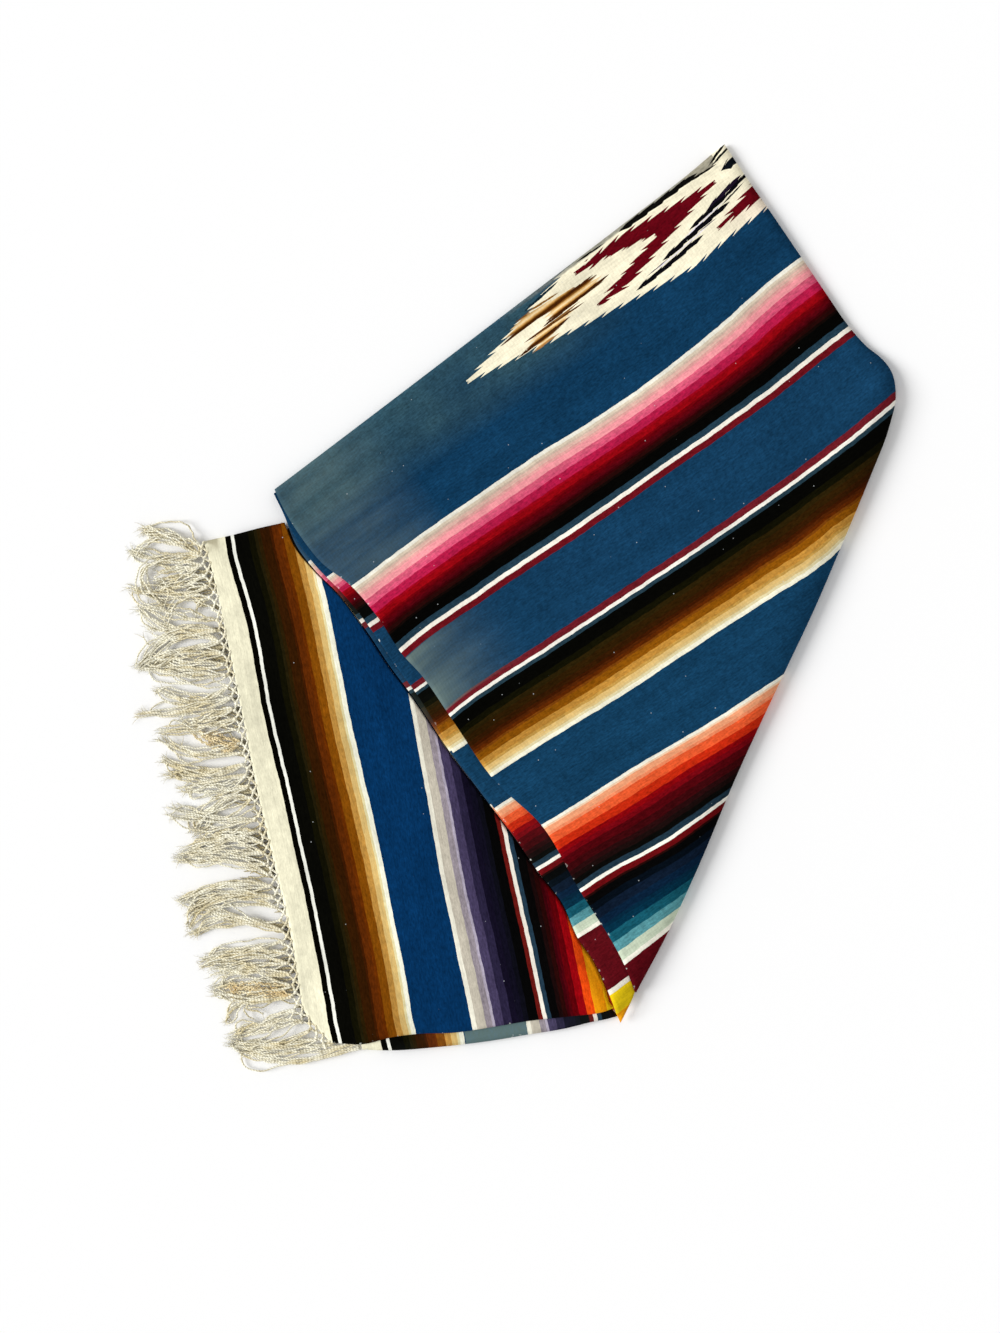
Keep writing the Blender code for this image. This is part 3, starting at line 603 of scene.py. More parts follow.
def wool_weave_group():
    """The weave's relief and unevenness over the opened cloth: fine picks along the weft, warp
    ribs across it, streaks where the yarn changes, and a wander of the picks."""
    group, tree, given, result = group_tree("wool_weave", ("Picks", "Along"), WEAVE_OUTPUTS)
    picks, along = given["Picks"], given["Along"]
    wander = tree.cloth_noise(picks, along, 0.02, 55.0, 3.0, 0.6).between(0, 1, -1.1, 1.1)
    wave = tree.cloth_noise(picks, along, 0.01, 6.0, 1.0, 0.5).between(0, 1, -2.2, 2.2)
    ribs = (along * (2 * math.pi / WARP_RIB)).sine()
    values = (
        tree.cloth_noise(picks, along, 0.9, 260.0, 2.0, 0.6) + ribs * 0.10,
        tree.cloth_noise(picks, along, 0.8, 9.0, 3.0, 0.7),
        tree.cloth_noise(picks, along, 0.55, 150.0, 2.0, 0.7),
        wander + wave,
    )
    for socket, value in zip(WEAVE_OUTPUTS, values):
        tree.fill(result[socket], value)
    return group


# The medallion at the serape's middle, half of it turned under at the long fold. Its edges climb
# in steps of a few picks, each with a point that overhangs the next.
STEP_LENGTH = 21.5  # mm along the weft
STEP_LEAN = 2.7  # mm of overhang for each pick
LEAST_TOOTH = 3.5  # picks
LINE_TAPER = 12.0  # mm at each end of a barbed line
# Stepped points. Columns: 1 for a point towards the selvedge and -1 for one towards the long
# fold; its place, mm from the long fold and picks; rise of each step on its upper and lower
# side, picks; the most that each side rises.
POINT_INPUTS = ("Side", "Tip along", "Tip picks", "Rise up", "Rise down", "Most up", "Most down")
STEPPED_POINTS = {
    "ground": (1, 388, 31, 3.9, 3.05, 60, 40.5),
    "chevron": (-1, 32, 22.5, 2.6, 3.6, 14.5, 24.5),
    "notch": (-1, 121, 27, 3.8, 3.3, 11.5, 11),
    "upper_arm": (1, 221, 10, 2.4, 3.4, 60, 60),
    "lower_arm": (1, 219, 46.5, 5.0, 2.2, 60, 60),
    "half_lozenge": (1, 60, 59.6, 4.6, 0.5, 30, 1.6),
}
# Barbed lines. Columns: from and to, mm from the long fold; picks at each end; half width in
# picks; colour. The last ones are the dark streaks in the shaded bars.
LINE_INPUTS = ("From", "To", "Picks from", "Picks to", "Half width")
BARBED_LINES = (
    (4, 60, 32.4, 39.6, 2.1, "1c1224"), (-12, 38, 33.4, 40.2, 1.7, "0c0b10"),
    (26, 88, 39.2, 43.0, 1.9, "0c0b10"), (6, 42, 39.6, 44.2, 0.8, "0c0b10"),
    (31, 131, 46.0, 49.4, 2.3, "0c0b10"), (76, 174, 54.9, 56.4, 2.1, "0c0b10"),
    (36, 98, 42.6, 46.0, 0.6, "e2dce2"), (66, 144, 51.2, 52.6, 0.6, "e2dce2"),
    (122, 156, 51.0, 52.0, 0.5, "5b5660"), (52, 82, 50.6, 50.2, 0.5, "5b5660"),
    (-24, 21, 17.0, 18.2, 4.0, "0b1016"), (44, 154, 5.6, 3.6, 2.6, "0c0c0a"),
    (20, 64, 10.4, 6.6, 1.0, "14130f"), (-6, 30, -2.2, 7.4, 1.4, "14130f"),
    (-8, 28, 3.4, 9.2, 1.1, "14130f"), (172, 214, 3.8, 1.8, 0.9, "14130f"),
    (203, 284, 20.6, 22.8, 1.0, "472207"), (188, 284, 29.0, 31.6, 1.2, "401e08"),
    (228, 312, 35.8, 33.0, 0.8, "563011"), (252, 326, 39.0, 41.0, 1.2, "45220a"),
    (270, 310, 45.0, 45.6, 0.8, "a97845"), (246, 290, 14.8, 12.0, 0.9, "8f6023"),
    (240, 292, 6.2, 9.6, 1.1, "0f2430"),
)
# Shaded bars. Columns: from and to, mm from the long fold; from and to in picks; mm that each end
# slants for a pick.
SHADED_BARS = (
    (241, 322, 12.5, 22.8, -9.0, 3.0),
    (194, 278, 22.8, 31.2, -1.5, 0.0),
    (244, 310, 32.6, 41.2, 3.0, 1.9),
    (276, 306, 41.2, 46.2, 3.0, 0.0),
)
BAR_SHADES = (
    (0, "6e4014"), (0.12, "8a5a1e"), (0.25, "dfb474"), (0.43, "f6deae"), (0.58, "d6a258"),
    (0.72, "754510"), (0.82, "381903"), (1, "4a2306"),
)
BAR_TOOTH_PICKS, BAR_TOOTH_MM = 1.6, 8.0
# The corner turned under at the long fold, painted grey as shade on its underside: mm from the
# fold that it spans, and the picks that its two edges rise or fall for each mm.
TURNED_FROM, TURNED_TO, TURNED_START = 19, 62, 17
TURNED_PICKS, TURNED_FALL, TURNED_RISE = 10.2, -0.10, 1.3


def stepped_point_group():
    """Inside of a point whose two sides climb in steps: each side's limit is a mean line less a
    sawtooth of one rise a step. The sawtooth's place leans with the picks beyond the mean line,
    so that each step ends in an overhanging tooth."""
    group, tree, given, result = group_tree("stepped_point", ("Along", "Picks", *POINT_INPUTS), ("Inside",))
    distance = (given["Tip along"] - given["Along"]) * given["Side"]
    inside = distance > 0.0
    below = given["Picks"] - given["Tip picks"]
    for aside, way in ((below * -1.0, "up"), (below, "down")):
        rise = given["Rise " + way]
        mean = (distance / STEP_LENGTH * rise).at_most(given["Most " + way])
        past = ((distance + (aside - mean) * STEP_LEAN) / STEP_LENGTH).fraction()
        tooth = (0.5 - past) * rise.at_least(LEAST_TOOTH)
        inside = inside * (aside < mean + 0.7 + tooth)
    tree.fill(result["Inside"], inside)
    return group


def barbed_line_group():
    """A line between two places along the weft, thin at both ends. Its half width is a sawtooth
    over the length of a step, slanted like the steps' teeth."""
    group, tree, given, result = group_tree("barbed_line", ("Along", "Picks", *LINE_INPUTS), ("Inside",))
    distance, rest = given["Along"] - given["From"], given["To"] - given["Along"]
    climb = distance / (distance + rest) * (given["Picks to"] - given["Picks from"])
    aside = given["Picks"] - given["Picks from"] - climb
    past = ((distance + aside * -STEP_LEAN) / STEP_LENGTH).fraction()
    reach = given["Half width"] * past.between(0, 1, 1.2, 0.75)
    reach = reach * distance.between(0, LINE_TAPER) * rest.between(0, LINE_TAPER)
    tree.fill(result["Inside"], aside.absolute() < reach)
    return group


def medallion_group():
    """The medallion's colours laid over a ground colour, at a place on the opened cloth, with
    painted shade along the top fold and on the turned corner.
    """
    group, tree, given, result = group_tree("medallion", ("Ground", "Picks", "Along"), ("Color",))
    picks, along = given["Picks"], given["Along"] * 1000.0
    point, line = stepped_point_group(), barbed_line_group()

    def inside_of(kind, names, row):
        inputs = {"Along": along, "Picks": picks, **dict(zip(names, row))}
        return tree.value("ShaderNodeGroup", inputs, node_tree=kind)

    shape = {name: inside_of(point, POINT_INPUTS, row) for name, row in STEPPED_POINTS.items()}
    rosy = along.between(60, 0, 0, 0.5) * picks.between(44, 52) * shape["ground"]
    colour = given["Ground"].painted(shape["ground"], "f7efd2").painted(rosy, "f0d8c8")
    for start, end, low, high, slant_start, slant_end in SHADED_BARS:
        aside = picks - (low + high) / 2
        teeth = (picks - low).pingpong(BAR_TOOTH_PICKS) * BAR_TOOTH_MM
        first = along - (aside * slant_start + start) - teeth
        last = aside * slant_end + end - along - teeth
        inside = (first > 0.0) * (last > 0.0) * (picks > low) * (picks < high)
        soft = first.between(0, 6, 0.75, 1.0) * last.between(0, 6, 0.75, 1.0)
        colour = colour.painted(inside * soft, tree.ramp(picks.between(low, high), BAR_SHADES))
    arms = shape["upper_arm"].at_least(shape["lower_arm"]) * shape["chevron"] * (1.0 - shape["notch"])
    colour = colour.painted(arms, "600713").painted(shape["half_lozenge"], "610813")
    # Painted shade: a grey band along the top fold, where the cloth rolls over it.
    rim = picks.between(4.6, 2.8) * along.between(320, 220) * along.between(14, 40)
    colour = colour.painted(rim * 0.85, "75766d")
    # Painted shade: grey over the corner where it rolls under at the long fold.
    turned = (along > TURNED_FROM) * (along < TURNED_TO)
    turned = turned * (picks < (along - TURNED_FROM) * TURNED_FALL + TURNED_PICKS)
    turned = turned * (picks < (along - TURNED_START) * TURNED_RISE)
    colour = colour.painted(turned, "9a9583")
    for *row, hexed in BARBED_LINES:
        colour = colour.painted(inside_of(line, LINE_INPUTS, row), hexed)
    tree.fill(result["Color"], colour)
    return group


yarn_bands = yarn_bands_group()
wool_weave = wool_weave_group()
medallion = medallion_group()

# Picks at the ends of the bands that are greyed or painted with shade.
CENTRE_END, FIELD_START, FIELD_END = 129, 219, 289
MAROON_START, MAROON_END, HEM_START = 820, 875, 964


def wool_material(name, grey_share=0.0, centre=False, field_grey=0.0, corner_shade=0.0):
    """Banded wool: the bands and the weave over the cloth map, with mottling, rubbed pale rims and lint.
    grey_share is how far all of it is greyed towards grey-teal. centre lays the medallion over it,
    with a painted highlight near the top fold, and greys two bands at its side; field_grey is how far
    the maroon field is greyed, and corner_shade how strong the painted shade is on the hem's corner
    by the tail's fold."""
    made, shader = matt_material(name, roughness=0.92, sheen=0.01, specular=0.0)
    tree = Tree(made.node_tree)
    picks, along = tree.map_place("cloth")
    place = {"Picks": picks, "Along": along}
    height, streak, grain, wander = tree.values("ShaderNodeGroup", place, node_tree=wool_weave)[:4]
    colour = tree.value("ShaderNodeGroup", {"Picks": picks + wander}, node_tree=yarn_bands)
    where = tree.value("ShaderNodeTexCoord", output="Object")
    mottle = where.noise(9.0, 4.0, 0.6)
    smear = tree.cloth_noise(picks, along, 0.07, 6.0, 3.0, 0.6)
    if centre:
        # Painted highlight: the first field lightened towards pale grey-green near the top fold.
        painted_sheen = along.between(0.18, 0.28) * picks.between(80, 46, 0, 0.15)
        painted_sheen = painted_sheen * mottle.between(0.3, 0.6, 0.6, 1.2)
        place = {"Picks": picks + wander * 0.4, "Along": along, "Ground": colour.painted(painted_sheen, "68886a")}
        colour = tree.value("ShaderNodeGroup", place, node_tree=medallion)
    shade = streak.between(0.25, 0.75, -0.10, 0.10) + 1.0
    shade = shade * mottle.between(0.3, 0.7, 0.90, 1.10) * smear.between(0.3, 0.7, 0.87, 1.13)
    shade = shade * where.noise(70.0, 3.0, 0.7).between(0.3, 0.7, 0.90, 1.10)
    red, green = tree.values("ShaderNodeSeparateColor", {0: colour})[:2]
    grain = grain.between(0.28, 0.72, -0.34, 0.34) * (red * green).between(0.0, 0.35, 1.0, 0.3)
    shade = shade * (grain + 1.0)
    grey = tree.value("ShaderNodeCombineColor", {0: shade, 1: shade, 2: shade})
    colour = tree.mix(1.0, colour, grey, "MULTIPLY")
    # Mottled greying towards grey-teal over all the cloth, and on the centre in two bands near the selvedge.
    greyed = mottle.between(0.35, 0.75) * grey_share
    if centre:
        uneven = mottle.between(0.25, 0.6, 0.6, 1.05) * smear.between(0.3, 0.7, 0.55, 1.35)
        first = along.between(0.49, 0.57) * picks.between(CENTRE_END, CENTRE_END - 1, 0, 0.28)
        second = along.between(0.48, 0.62).power(2.5) * picks.between(FIELD_END, FIELD_END - 1)
        second = second * picks.between(FIELD_START, FIELD_START + 1)
        greyed = greyed + first * uneven + second * uneven
    colour = colour.painted(greyed, "687a76")
    # A share of pale grey-green over the field between MAROON_START and MAROON_END.
    if field_grey:
        field = picks.between(MAROON_START, MAROON_START + 2, 0, field_grey)
        colour = colour.painted(field * picks.between(MAROON_END, MAROON_END - 1), "8fa893")
    # Painted shade: grey-brown over the hem's corner by the tail's fold, where the cream rolls over the fold.
    if corner_shade:
        corner = along.between(0.122, 0.139, 0, corner_shade) * picks.between(HEM_START, HEM_START + 4)
        colour = colour.painted(corner * where.noise(60.0).between(0.35, 0.6), "8f866a")
    edge = tree.value("ShaderNodeAttribute", output="Fac", attribute_name="edge")
    rim = edge.between(0.0020, 0.0011) * where.noise(14.0).between(0.46, 0.56)
    rim = rim * where.noise(190.0).between(0.63, 0.69, 0, 0.8)
    lint = tree.value("ShaderNodeTexVoronoi", {"Vector": where, "Scale": 60.0}, "Distance", feature="F1")
    colour = colour.painted(rim, "cdd2cb").painted(lint.between(0.045, 0.03, 0, 0.6), "c9ced0")
    tree.dress(shader, colour, height, strength=0.35, depth=0.0009)
    return made


panel_face.data.materials.append(wool_material("panel_wool", centre=True))
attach(panel_face, "root")
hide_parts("panel_face")

# ---- The panel's second layer -----------------------------------------------------------------
# The next layer down, which shows as a strip along the selvedge side. It is the same cloth,
# folded back at the long fold, so its bands are the same ones, shifted along the strip.
SECOND_SELVEDGE = (
    (-268, 130), (-254, 102), (-239, 72), (-219, 46), (-189, 15), (-158, -24), (-132, -63),
    (-108, -95), (-67, -161), (-36, -203), (-3, -248), (25, -290), (56, -331), (73, -369), (89, -392),
    (106, -427), (121, -464),
)
# Columns: picks of the face above, and how many picks further along the second layer is there.
SECOND_SHIFTS = (
    (60, 20), (105, 22), (130, 38), (240, 40), (300, 48), (330, 44), (410, 41), (480, 43),
    (535, 40.5), (565, 44.5), (620, 41.4),
)
# Beside the tip it is drawn in less: from where along y, over how far, and by what share.
TIP_FROM, TIP_BLEND, TIP_SHARE = -0.412, 0.03, 0.9
SECOND_CELLS, SECOND_MARGIN = (0.016, FACE_CELLS[1]), 6
SECOND_CURL = (0.0004, 0.010)


def shifted(places, shifts):
    """Places on the cloth with as many picks more as the shifts give at theirs."""
    return places + np.interp(places[:, :1], *np.transpose(shifts)) * np.array([1, 0])


plan = panel_plan(*SECOND_CELLS, SECOND_SELVEDGE, SECOND_MARGIN)
tip_share = soft_step((TIP_FROM - plan.reshape(-1, 2)[:, 1]) / TIP_BLEND)
flat = drawn_in(plan.reshape(-1, 2), PANEL_FOLDS, ROLL_INSET * PITCH * (1 - TIP_SHARE * tip_share))
second_line = smooth_line(SECOND_SELVEDGE)
panel_second = cloth_piece(
    "panel_second_cloth",
    plan.shape[:2],
    flat,
    panel_height(flat, PITCH) + face_curl(flat, second_line, *SECOND_CURL),
    shifted(panel_cloth(flat), SECOND_SHIFTS),
    nearest(flat, second_line)[0],
)
panel_second.data.materials.append(wool_material("second_wool", grey_share=0.02))
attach(panel_second, "root")
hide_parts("panel_second")

# ---- The tail's face --------------------------------------------------------------------------
# The top layer of the lower strip, from the fringed end to where the panel covers it.
TAIL_FOLD = ((-345, 74), (-312, 81), (-280, 89), (-252, 95))
TAIL_END = (
    (-345, 74), (-339, 54), (-320, -30), (-301, -124), (-286, -200), (-268, -279), (-246, -375),
    (-238, -425), (-233, -450), (-222, -465), (-203, -486),
)
FACE_HEM = (
    (-203, -486), (-191, -487), (-169, -488), (-135, -480), (-103, -476), (-67, -475), (-19, -468),
    (16, -462), (61, -457), (108, -450), (116, -447),
)
TAIL_RIGHT = (
    (-255, 95), (-243, 67), (-222, 41), (-192, 11), (-163, -29), (-138, -67), (-113, -100),
    (-69, -165), (-37, -207), (-4, -251), (25, -292), (56, -333), (73, -370), (89, -393), (104, -426),
    (110, -448),
)
# Columns as for the panel's bands, with points from the strip's folded side to its hem.
TAIL_BANDS = (
    (746.5, ((-21, -184), (2, -296), (20, -380), (29, -425))),
    (820, ((-117, -87), (-97, -200), (-76, -313), (-59, -397), (-49, -442))),
    (877.5, ((-212, 10), (-189, -102), (-165, -214), (-140, -326), (-122, -410), (-115, -455))),
    (951, (
        (-313, 81), (-309, 60), (-291, -6), (-269, -119), (-243, -230), (-220, -343), (-203, -427),
        (-196, -472),
    )),
)
TAIL_WEFT = np.array([-0.204, 0.979])
END_DROOP, DROOP_LENGTH = 0.0005, 0.060
TAIL_LINE = smooth_line(TAIL_FOLD)
TAIL_FOLDS = ((TAIL_LINE, np.full(len(TAIL_LINE), TAIL_ROLL)),)
END_LINE = smooth_line(TAIL_END)

# The tail's pile dips beside the tip, along this line under the panel's selvedge.
THIN_LINE, THIN_REACH, THIN_SHARE = np.array([[0.0745, -0.366], [0.1165, -0.452]]), 0.0105, 0.64
THIN_FROM, THIN_BLEND = -0.350, 0.05
TAIL_LENGTH, TAIL_ROLLS = 0.58, (0.016, 0)


def thinned(points):
    """Share of its height that the tail keeps: less in a bell across the thin line, from its
    start towards the hem."""
    run = THIN_LINE[1] - THIN_LINE[0]
    run = run / np.linalg.norm(run)
    right = (points - THIN_LINE[0]) @ np.array([-run[1], run[0]])
    bell = np.exp(-((right / THIN_REACH) ** 2))
    return 1 - THIN_SHARE * bell * soft_step((THIN_FROM - points[:, 1]) / THIN_BLEND)


def tail_height(points, depth):
    """Height of the layer of the tail that lies this deep under its face."""
    near_end = 1 - soft_step(nearest(points, END_LINE)[0] / DROOP_LENGTH)
    top = PACKET - END_DROOP * near_end
    edge = EDGE_SHARE * PACKET
    return (edge + (top - depth - edge) * rolled(points, TAIL_FOLDS, ROLL_INSET * depth)) * thinned(points)


def tail_cloth(points):
    """Where a point of the tail lies on the opened cloth."""
    return np.column_stack([picks_at(points, TAIL_BANDS, -TAIL_WEFT), points @ TAIL_WEFT])


def tail_plan(end_mm, hem_mm, cell, width):
    """Plan of a layer of the tail, from its fringed end to where the panel covers it. Its width
    is only a rough one, to count the cells across."""
    end, right = smooth_line(end_mm), smooth_line(TAIL_RIGHT)
    fold = np.vstack([end[:1], TAIL_LINE[TAIL_LINE[:, 0] > end[0, 0] + 0.002], right[:1]])
    fold = fold[np.argsort(fold[:, 0])]
    right = right[right[:, 1] > hem_mm[-1][1] / 1000 + 0.002]
    right = np.vstack([right, np.array(hem_mm[-1:]) / 1000])
    across, down = graded(cell, width, (0, 0)), graded(cell, TAIL_LENGTH, TAIL_ROLLS)
    return patch(fold, smooth_line(hem_mm), end, right, across, down)


plan = tail_plan(TAIL_END, FACE_HEM, cell=0.005, width=0.42)
flat = plan.reshape(-1, 2)
skirt, skirt_flat = turned_under(plan[0], TAIL_FOLDS, lambda p: tail_height(p, 0.0))
tail_face = cloth_piece(
    "tail_face_cloth",
    plan.shape[:2],
    flat,
    tail_height(flat, 0.0),
    tail_cloth(flat),
    nearest(flat, smooth_line(FACE_HEM))[0],
    skirt,
    [tail_cloth(p) for p in skirt_flat],
    range(plan.shape[1]),
)
tail_face.data.materials.append(wool_material("tail_wool", corner_shade=0.7))
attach(tail_face, "root")
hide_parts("tail_face")

# ---- The tail's second layer ------------------------------------------------------------------
# The next layer down, shorter at the fringed end, which shows as a strip below the face's hem.
SECOND_END = (
    (-287, 86), (-281, 66), (-263, -30), (-245, -124), (-230, -200), (-212, -279), (-190, -375),
    (-178, -440), (-168, -494),
)
SECOND_HEM = (
    (-168, -494), (-135, -495), (-92, -492), (-16, -483), (19, -477), (61, -470), (85, -464),
    (110, -459), (118, -457),
)
TAIL_SHIFTS = ((698, 49), (766, 55), (831, 44.5), (905, 46.5))  # as SECOND_SHIFTS

plan = tail_plan(SECOND_END, SECOND_HEM, cell=0.007, width=0.36)
flat = drawn_in(plan.reshape(-1, 2), TAIL_FOLDS, ROLL_INSET * PITCH)
tail_second = cloth_piece(
    "tail_second_cloth",
    plan.shape[:2],
    flat,
    tail_height(flat, PITCH),
    shifted(tail_cloth(flat), TAIL_SHIFTS),
    nearest(flat, smooth_line(SECOND_HEM))[0],
)
tail_second.data.materials.append(wool_material("tail_second_wool", grey_share=0.06, field_grey=0.38))
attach(tail_second, "root")
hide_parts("tail_second")

# ---- The hidden layers ------------------------------------------------------------------------
# The third and fourth layers of each strip, which show only as edges along the open sides and
# from below: the panel's pair drapes over the tail's folded edge, and the tail's pair runs on
# under the panel to the slanting fold.
CORE_INSET, CORE_LEAST, CORE_ROUND = 0.0072, 0.0030, 0.0045
CORE_CELL, CORE_MARGIN, SLAB_CELL, SLAB_WIDTH = 0.009, 5, 0.010, 0.74
LAYER_GAP = 0.0002
CORE_SHIFT, SLAB_SHIFT = np.array([47, 0]), np.array([25, 0])  # picks further on than the faces
CORE_SELVEDGE = (
    (-261, 119), (-253, 101), (-240, 69), (-220, 43), (-190, 13), (-161, -27), (-136, -65),
    (-111, -98), (-67, -163), (-35, -205), (-2, -249), (27, -290), (58, -331), (75, -368), (91, -391),
    (106, -424), (117, -446),
)
CORE_HEM = (
    (-207, -481), (-190, -484), (-135, -491), (-92, -488), (-16, -479), (19, -473), (61, -466),
    (95, -459), (120, -447),
)
CORE_END = (
    (-326, 72), (-319, 54), (-301, -30), (-283, -124), (-268, -200), (-250, -279), (-228, -375),
    (-207, -481),
)
# The tail's slab under the panel: its fold, and how far it keeps inside the slanting fold.
SLAB_FOLD = ((-326, 72), (-300, 78), (-260, 86.5), (-100, 115), (100, 150), (300, 190), (405, 208))
SLAB_TIP = (0.118, -0.448)
SLAB_TOP, SLAB_START, SLAB_LOW = 0.235, 0.200, -0.445  # y of the part of the slant that it follows
SLAB_INSET, SLAB_ROUND, SLAB_ROLL = 0.0105, 0.0004, 0.0045
COVER_FROM, COVER_BLEND = 0.008, 0.012  # past the open side, where the slab fills the whole pile
# Two cut edges, one over the other. Columns: how far out, mm; height, mm.
LAYERED_EDGE = (
    (0.3, 4.85), (0.9, 4.5), (1.2, 4.0), (0.9, 3.4), (0.2, 3.0), (-2.4, 2.85), (-2.6, 2.45),
    (-0.6, 2.2), (0.7, 1.9), (1.1, 1.3), (0.8, 0.7), (0.1, 0.2), (-0.6, 0.0),
)


def closed_layers(name, shape, flat, top, base, places):
    """A closed slab under a grid of points: folded sides go down in a round, the cut side in two
    layered edges, and the underside follows the grid at the given heights."""
    index, quads = grid_faces(*shape)
    ring = np.concatenate([index[0, :-1], index[:-1, -1], index[-1, :0:-1], index[:0:-1, 0]])
    outline = flat[ring]
    outward = left_normals(np.vstack([outline[-1:], outline, outline[:1]]))[1:-1]
    cut = np.isin(ring, index[:, 0])
    verts, uv, faces = [np.column_stack([flat, top])], [places], []
    previous, start = ring, index.size
    step = np.arange(len(ring))
    uneven = 1 + 0.35 * np.sin(0.21 * step) * np.sin(0.047 * step + 1)
    for k, (out, level) in enumerate(LAYERED_EDGE):
        turn = (k + 1) / len(LAYERED_EDGE)
        side = np.where(cut, out / 1000 * uneven, -CORE_ROUND * turn**2)
        rounded = base[ring] + (top[ring] - base[ring]) * (1 - turn) ** 1.5
        height = np.minimum(np.where(cut, base[ring] + level / 1000, rounded), top[ring])
        verts.append(np.column_stack([outline + outward * side[:, None], height]))
        uv.append(places[ring])
        made = np.arange(start, start + len(ring))
        faces.append(np.stack([previous, np.roll(previous, -1), np.roll(made, -1), made], -1))
        previous, start = made, start + len(ring)
    inner = index[1:-1, 1:-1].ravel()
    under = np.full(index.size, -1)
    under[inner] = np.arange(start, start + len(inner))
    under[ring] = previous
    verts.append(np.column_stack([flat[inner], base[inner]]))
    uv.append(places[inner])
    faces += [quads, under[quads][:, ::-1]]
    return cloth_object(name, verts, np.vstack(faces), uv)


plan = panel_plan(CORE_CELL, CORE_CELL, CORE_SELVEDGE, CORE_MARGIN)
core_edge = plan[:, 0]
core_flat = drawn_in(plan.reshape(-1, 2), PANEL_FOLDS, CORE_INSET).reshape(plan.shape)
core_flat[:, 0] = core_edge
core_flat = core_flat.reshape(-1, 2)
core_base = lying_on(core_flat)
core_base[core_base < DRAPE_GAP] = 0.0
core_top = panel_height(plan.reshape(-1, 2), 2 * PITCH + LAYER_GAP)
panel_layers = closed_layers(
    "panel_hidden_layers",
    plan.shape[:2],
    core_flat,
    np.maximum(core_top, core_base + CORE_LEAST),
    core_base,
    panel_cloth(core_flat) + CORE_SHIFT,
)
slab_fold = np.array(SLAB_FOLD) / 1000
far_side = SIDE_LINE[(SIDE_LINE[:, 1] < SLAB_TOP) & (SIDE_LINE[:, 1] > SLAB_LOW)]
far_side = far_side + left_normals(far_side) * -SLAB_INSET
far_side = np.vstack([slab_fold[-1:], far_side[far_side[:, 1] < SLAB_START], [SLAB_TIP]])
across, down = graded(SLAB_CELL, SLAB_WIDTH, (0, 0)), graded(SLAB_CELL, TAIL_LENGTH, TAIL_ROLLS)
plan = patch(slab_fold, smooth_line(CORE_HEM), smooth_line(CORE_END), far_side, across, down)
flat = plan.reshape(-1, 2)
open_side = np.interp(-flat[:, 1], -core_edge[:, 1], core_edge[:, 0])
cover = soft_step((flat[:, 0] - open_side - COVER_FROM) / COVER_BLEND)
slab_top = 2 * PITCH - LAYER_GAP - SLAB_ROUND * (1 - rolled(flat, TAIL_FOLDS, SLAB_ROLL))
slab_top = slab_top + cover * (PACKET - 2 * PITCH)
tail_layers = closed_layers(
    "tail_hidden_layers",
    plan.shape[:2],
    flat,
    slab_top * (cover + (1 - cover) * thinned(flat)),
    np.zeros(len(flat)),
    tail_cloth(flat) + SLAB_SHIFT,
)
core_wool = wool_material("hidden_wool", grey_share=0.3)
for layers in (panel_layers, tail_layers):
    layers.data.materials.append(core_wool)
    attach(layers, "root")
    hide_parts("folded_layers")

# ---- The fringe ---------------------------------------------------------------------------------
# The warp's ends, knotted into a net of two rows along the cloth's end and left hanging as
# two-ply yarns. They gather into clumps with white floor between them.
NET_CELLS = 46
NET_PITCH = 583 / NET_CELLS  # mm along the end
SECOND_START = 0.0015  # how far out of the hem the second layer's yarns start
NET_ROWS = (-0.0006, 0.0040, 0.0086)
NET_LEVEL, CORD_RADIUS, KNOT_RADIUS = 0.0088, 0.0012, 0.0020
YARN_LENGTH = 0.095
YARN_TAPER = ((0, 0.1, 0.9, 1), (0.0011, 0.00095, 0.00088, 0.00042))  # radius over its length
CRIMPED_RADIUS = 0.00075
FRAY_LENGTH, FRAY_TAPER = 0.011, (0.00035, 0.00012)
PLY_LENGTH = 0.0070
KNOT_LEVEL, TIP_HEIGHT, UNDER_LEVEL, LEAST_LEVEL = 0.0078, 0.0014, 0.0058, 0.0011
# Share of its length that a yarn of the second layer lies level: under the face, and at the
# corner past it, from so many mm along the end.
UNDER_SHARE, CORNER_SHARE, CORNER_FROM = 0.60, 0.16, 550
